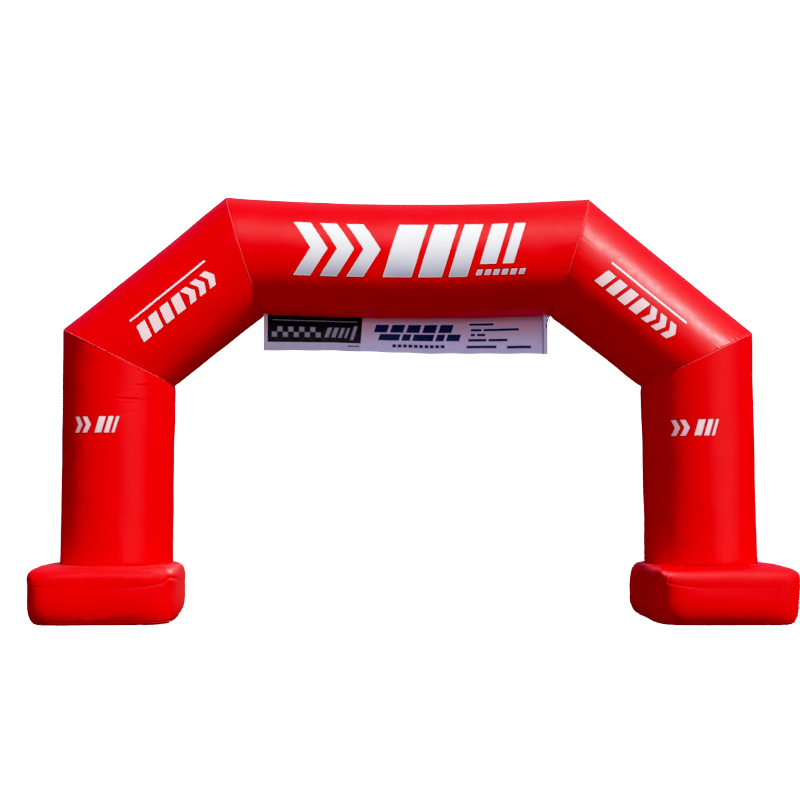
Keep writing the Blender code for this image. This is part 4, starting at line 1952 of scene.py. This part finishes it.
@dataclass(frozen=True)
class Studio:
    """The camera, the lights and the pale floor.

    Attributes:
        eye: the camera's place.
        tilt: its tilt from straight down, in degrees.
        pan: its turn to the left, in degrees.
        roll: its lean, in degrees.
        lens: its focal length in millimetres.
        to_sun: the direction to the sun.
        sun: its strength.
        sun_angle: the sun's angular size, in degrees.
        to_fill: the direction to the soft light behind the arch.
        fill: its strength.
        fill_angle: its angular size, in degrees.
        wash: the strength of the blue light on the cloths' fronts.
        soft: the light on the cloths from below, from the sides and from above.
        mirrored: what gloss mirrors from below, from the sides, from low in the sky and from above.
        tones: how the picture holds bright light: shares of white_level and their shown values.
        white_level: the light that is shown as white.
        black_level: the light that is shown as black.
        glints: the bright patches of the sky that gloss mirrors.
        streaks: the suns that only one node's gloss mirrors, by its name.
        floor_radius: the floor's radius.
        floor_sun: the strength of the light that keeps it white.
    """

    eye: tuple[float, float, float] = (-0.240, -16.89, 1.5)
    tilt: float = 93.787
    pan: float = -0.44
    roll: float = 0.02
    lens: float = 63.0
    to_sun: tuple[float, float, float] = (0.5346, -0.4813, 0.6947)
    sun: float = 6.4
    sun_angle: float = 8.0
    to_fill: tuple[float, float, float] = (0.0, 0.93, 0.37)
    fill: float = 1.2
    fill_angle: float = 30.0
    wash: float = 0.42
    soft: tuple[Color, Color, Color] = ((0.23, 0.21, 0.21), (0.50, 0.50, 0.56), (0.32, 0.38, 0.53))
    mirrored: tuple[Color, ...] = (
        (0.002, 0.001, 0.001), (0.004, 0.003, 0.006), (0.050, 0.022, 0.170), (0.030, 0.020, 0.110),
    )
    tones: tuple[tuple[float, float], ...] = (
        (0.0, 0.0), (0.15, 0.30), (0.30, 0.595), (0.45, 0.75), (0.65, 0.87), (0.80, 0.93), (1.0, 1.0),
    )
    white_level: float = 2.0
    black_level: float = 0.012
    glints: tuple[Glint, ...] = (
        Glint((0.0, 0.0, 2.0), (0.31, -0.86, 0.02), 1.4, 23.0),
        Glint((0.0, 0.0, 4.9), (0.06, -0.94, 0.30), 4.8, 13.5),
        Glint((-2.8, 0.0, 0.5), (0.36, -0.74, 0.56), 2.6, 13.0),
        Glint((0.0, 0.0, 4.9), (0.20, -0.62, 0.76), 0.22, 33.0),
    )
    streaks: tuple[tuple[str, Glint], ...] = (
        ("shoulder_right", Glint((2.7, 0.0, 3.8), (0.25, -0.90, 0.22), 3.4, 4.0)),
        ("foot_left", Glint((-2.8, -0.8, 0.5), (0.62, -0.45, 0.65), 5.0, 50.0)),
        ("foot_right", Glint((2.9, -0.8, 0.5), (-0.30, -0.76, 0.57), 2.6, 36.0)),
    )
    floor_radius: float = 70.0
    floor_sun: float = 7.5

    def camera(self) -> None:
        """Places the camera."""
        data = bpy.data.cameras.new("camera")
        data.lens = self.lens
        data.sensor_width = 36.0
        data.clip_end = 300.0
        camera = bpy.data.objects.new("camera", data)
        camera.location = self.eye
        camera.rotation_euler = [math.radians(turn) for turn in (self.tilt, self.roll, self.pan)]
        bpy.context.scene.collection.objects.link(camera)
        bpy.context.scene.camera = camera

    def light(
        self, name: str, direction: Sequence[float], energy: float, angle: float,
        lit: bpy.types.Collection, shadow: bool = True, mirrored: bool = False,
        tint: Color = (1.0, 1.0, 1.0),
    ) -> None:
        """Adds a sun that lights one collection's matt colour, or only its gloss.

        Args:
            name: its name.
            direction: the direction to it.
            energy: its strength.
            angle: its angular size in degrees.
            lit: what it lights.
            shadow: whether it casts shadows.
            mirrored: whether only gloss mirrors it. Otherwise it lights only matt colour.
            tint: its colour.
        """
        data = bpy.data.lights.new(name, "SUN")
        data.energy = energy
        data.angle = math.radians(angle)
        data.use_shadow = shadow
        data.color = tint
        lamp = bpy.data.objects.new(name, data)
        lamp.rotation_euler = Vector(direction).to_track_quat("Z", "Y").to_euler()
        lamp.light_linking.receiver_collection = lit
        lamp.visible_glossy = mirrored
        lamp.visible_diffuse = not mirrored
        bpy.context.scene.collection.objects.link(lamp)

    def gradient(
        self, tree: bpy.types.NodeTree, height: bpy.types.NodeSocket, places: Sequence[float],
        shades: Sequence[Color],
    ) -> bpy.types.NodeSocket:
        """A colour that goes by height from the first shade to the last.

        Args:
            tree: the world's nodes.
            height: a number from 0, straight down, to 1, straight up.
            places: the height of each shade.
            shades: the colours.

        Returns:
            The colour's socket.
        """
        node = tree.nodes.new("ShaderNodeValToRGB")
        elements = node.color_ramp.elements
        for place in places[1:-1]:
            elements.new(place)
        for element, place, shade in zip(elements, places, shades):
            element.position = place
            element.color = (*shade, 1.0)
        tree.links.new(height, node.inputs["Fac"])
        return node.outputs["Color"]

    def sky(self) -> None:
        """Builds the world: soft light by height, its mirrored shades for gloss, white behind."""
        world = bpy.data.worlds.new("sky")
        world.use_nodes = True
        tree = world.node_tree
        place = tree.nodes.new("ShaderNodeTexCoord")
        split = tree.nodes.new("ShaderNodeSeparateXYZ")
        height = tree.nodes.new("ShaderNodeMapRange")
        height.inputs["From Min"].default_value = -1.0
        tree.links.new(place.outputs["Generated"], split.inputs["Vector"])
        tree.links.new(split.outputs["Z"], height.inputs["Value"])
        path = tree.nodes.new("ShaderNodeLightPath")
        white = (self.white_level * 1.5,) * 3 + (1.0,)
        level = height.outputs["Result"]
        color = self.gradient(tree, level, (0.42, 0.53, 0.90), self.soft)
        mirrored = self.gradient(tree, level, (0.40, 0.54, 0.58, 0.95), self.mirrored)
        for glint in self.glints:
            mirrored = glint.over(tree, place.outputs["Generated"], mirrored, self.eye)
        for ray, other in (("Is Glossy Ray", mirrored), ("Is Camera Ray", None)):
            mix = tree.nodes.new("ShaderNodeMix")
            mix.data_type = "RGBA"
            mix.clamp_factor = True
            tree.links.new(path.outputs[ray], mix.inputs[0])
            tree.links.new(color, mix.inputs[6])
            if other is None:
                mix.inputs[7].default_value = white
            else:
                tree.links.new(other, mix.inputs[7])
            color = mix.outputs[2]
        tree.links.new(color, tree.nodes["Background"].inputs["Color"])
        world.cycles.sampling_method = "NONE"  # so that only gloss meets the mirrored shades
        bpy.context.scene.world = world

    def picture(self) -> None:
        """Sets how light becomes the picture: plain up to 0.6, then gently held back.

        The light tree is off, because with suns that light only some pieces it gives a foot
        another gloss from one run to the next.
        """
        bpy.context.scene.cycles.use_light_tree = False
        settings = bpy.context.scene.view_settings
        settings.view_transform = "Standard"
        settings.use_curve_mapping = True
        mapping = settings.curve_mapping
        mapping.white_level = (self.white_level,) * 3
        mapping.black_level = (self.black_level,) * 3
        points = mapping.curves[3].points
        for share, shown in self.tones[1:-1]:
            points.new(share, shown)
        mapping.update()

    def floor(self) -> None:
        """Builds the pale floor just under the feet."""
        angle = np.linspace(0.0, 2.0 * math.pi, 96, endpoint=False)
        rim = np.column_stack([
            self.floor_radius * np.cos(angle), self.floor_radius * np.sin(angle), 0.0 * angle - 0.002,
        ])
        mesh = bpy.data.meshes.new("floor")
        mesh.from_pydata(rim.tolist(), [], [list(range(len(rim)))])
        mesh.update()
        dresser = Dresser("pale_floor", Roughness=0.9)
        dresser.shader.inputs["Specular IOR Level"].default_value = 0.0
        color = dresser.blend(dresser.noise(3.0), (0.90, 0.90, 0.90), (0.92, 0.92, 0.92))
        mesh.materials.append(dresser.finish(color))
        floor = bpy.data.objects.new("floor", mesh)
        floor.visible_diffuse = False
        floor.visible_glossy = False
        Group.STAGE.collection().objects.link(floor)

    def build(self) -> None:
        """Builds the camera, the sky, the floor and the lights."""
        self.camera()
        self.sky()
        self.picture()
        self.floor()
        inflated, hung, stage = (group.collection() for group in Group)
        self.light("sun", self.to_sun, self.sun, self.sun_angle, inflated)
        self.light("fill", self.to_fill, self.fill, self.fill_angle, inflated)
        self.light("hung_fill", self.to_fill, self.fill, self.fill_angle, hung)
        self.light(
            "hung_wash", (0.0, -0.9, 0.3), self.wash, 20.0, hung, shadow=False,
            tint=(0.25, 0.35, 1.0),
        )
        for node, streak in self.streaks:
            lit = bpy.data.collections.new(node + "_streak")
            for piece in inflated.objects:
                if piece.name.startswith(node):
                    lit.objects.link(piece)
            self.light(
                lit.name, streak.direction(self.eye), streak.strength, streak.spread, lit,
                shadow=False, mirrored=True,
            )
        self.light("floor_wash", (0.0, 0.0, 1.0), self.floor_sun, 20.0, stage, shadow=False)


# ---------------------------------------------------------------- the whole arch
@dataclass(frozen=True)
class Arch:
    """The whole inflatable arch.

    Attributes:
        spine: its line of joints.
        tubes: its air tubes from the left leg to the right one.
        feet: its feet.
        banners: the cloths under its beam.
        tie: the tie at its right inner corner.
    """

    spine: Spine = Spine()
    tubes: tuple[AirTube, ...] = (
        AirTube(
            "leg_left", 0, TubePrint.LEG, turn=1, print_at=(0.662, 14.0), rows=175,
            gathers=(Gather(End.FIRST, 0.003), Gather(End.LAST, 0.0010)),
            creases=(
                Crease(2.097, -42.0, 0.33, 0.0080, 0.015, -0.06, 0.10),
                Crease(1.925, -21.0, 0.32, 0.0080, 0.015, 0.035, 0.05),
                Crease(1.881, -22.0, 0.25, 0.0052, 0.013, 0.04),
                Crease(1.780, -24.0, 0.18, 0.0034, 0.013, 0.02),
            ),
        ),
        AirTube(
            "shoulder_left", 1, TubePrint.SHOULDER, waist=0.006,
            gathers=(Gather(End.FIRST, 0.0012), Gather(End.LAST, 0.0012)),
        ),
        AirTube(
            "beam", 2, TubePrint.BEAM, waist=0.016, sag=0.058, rows=220,
            gathers=(Gather(End.FIRST, 0.001), Gather(End.LAST, 0.0022)),
        ),
        AirTube(
            "shoulder_right", 3, TubePrint.SHOULDER, waist=0.006, roughness=0.38, draw=0.0045,
            gathers=(
                Gather(End.FIRST, 0.0010), Gather(End.LAST, 0.0006),
                Gather(End.LAST, 0.0150, 44.0, 24.0, 0.055, 0.038),
            ),
        ),
        AirTube(
            "leg_right", 4, TubePrint.LEG, turn=3, print_at=(0.346, -16.0), rows=175,
            gathers=(
                Gather(End.FIRST, 0.012, 42.0, 30.0, 0.060, 0.030), Gather(End.FIRST, 0.0012),
                Gather(End.LAST, 0.0030),
            ),
        ),
    )
    feet: tuple[BoxFoot, ...] = (
        BoxFoot("foot_left", -3.5, 4.0, 1.00, 0.100, 0.030, 31),
        BoxFoot("foot_right", 3.5, 0.0, 1.08, 0.125, 0.155, 57),
    )
    banners: tuple[Banner, ...] = (
        Banner(
            "banner_left", "banner_print",
            PanelCloth("banner_left_cloth", (0.80, 0.71, 0.83), (0.80, 0.74, 0.80), 1.237, 0.43),
            0.003, 1.240, True, 0.0045,
        ),
        Banner(
            "banner_right", "banner_pale",
            NoticeCloth("banner_right_cloth", (0.93, 0.84, 1.0), (0.96, 0.88, 1.0), 2.2453, 0.45),
            1.195, 3.4403, False,
        ),
    )
    tie: Tie = Tie()

    def build(self) -> None:
        """Builds every piece."""
        skins = {tube.name: tube.build(self.spine) for tube in self.tubes}
        # Painted highlight: the lips are pinker than the skin, so each seam shows a pale line as if lit.
        welt = CoatedFabric(
            "welt_fabric", red=(0.84, 0.055, 0.06), worn=(0.86, 0.095, 0.10), roughness=0.36
        ).material()
        for first, second in zip(self.tubes, self.tubes[1:]):
            ring = (skins[first.name].points[-1] + skins[second.name].points[0]) / 2.0
            lip = Welt(f"{first.name}_{second.name}_welt")
            lip.build(ring, unit(ring - ring.mean(axis=0)), welt)
        for foot in self.feet:
            foot.build(welt)
        for banner in self.banners:
            banner.build(self.spine, skins["beam"])
        self.tie.build()


def corners(box: Sequence[Sequence[float]]) -> list[list[float]]:
    """A box's lowest and highest corners as plain lists."""
    return [[float(value) for value in corner] for corner in box]


def main() -> None:
    """Loads the frame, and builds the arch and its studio."""
    logging.basicConfig(level=logging.INFO, format="%(name)s %(message)s", stream=sys.stdout)
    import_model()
    Arch().build()
    Studio().build()
    bpy.context.view_layer.update()


if __name__ == "__main__":
    main()
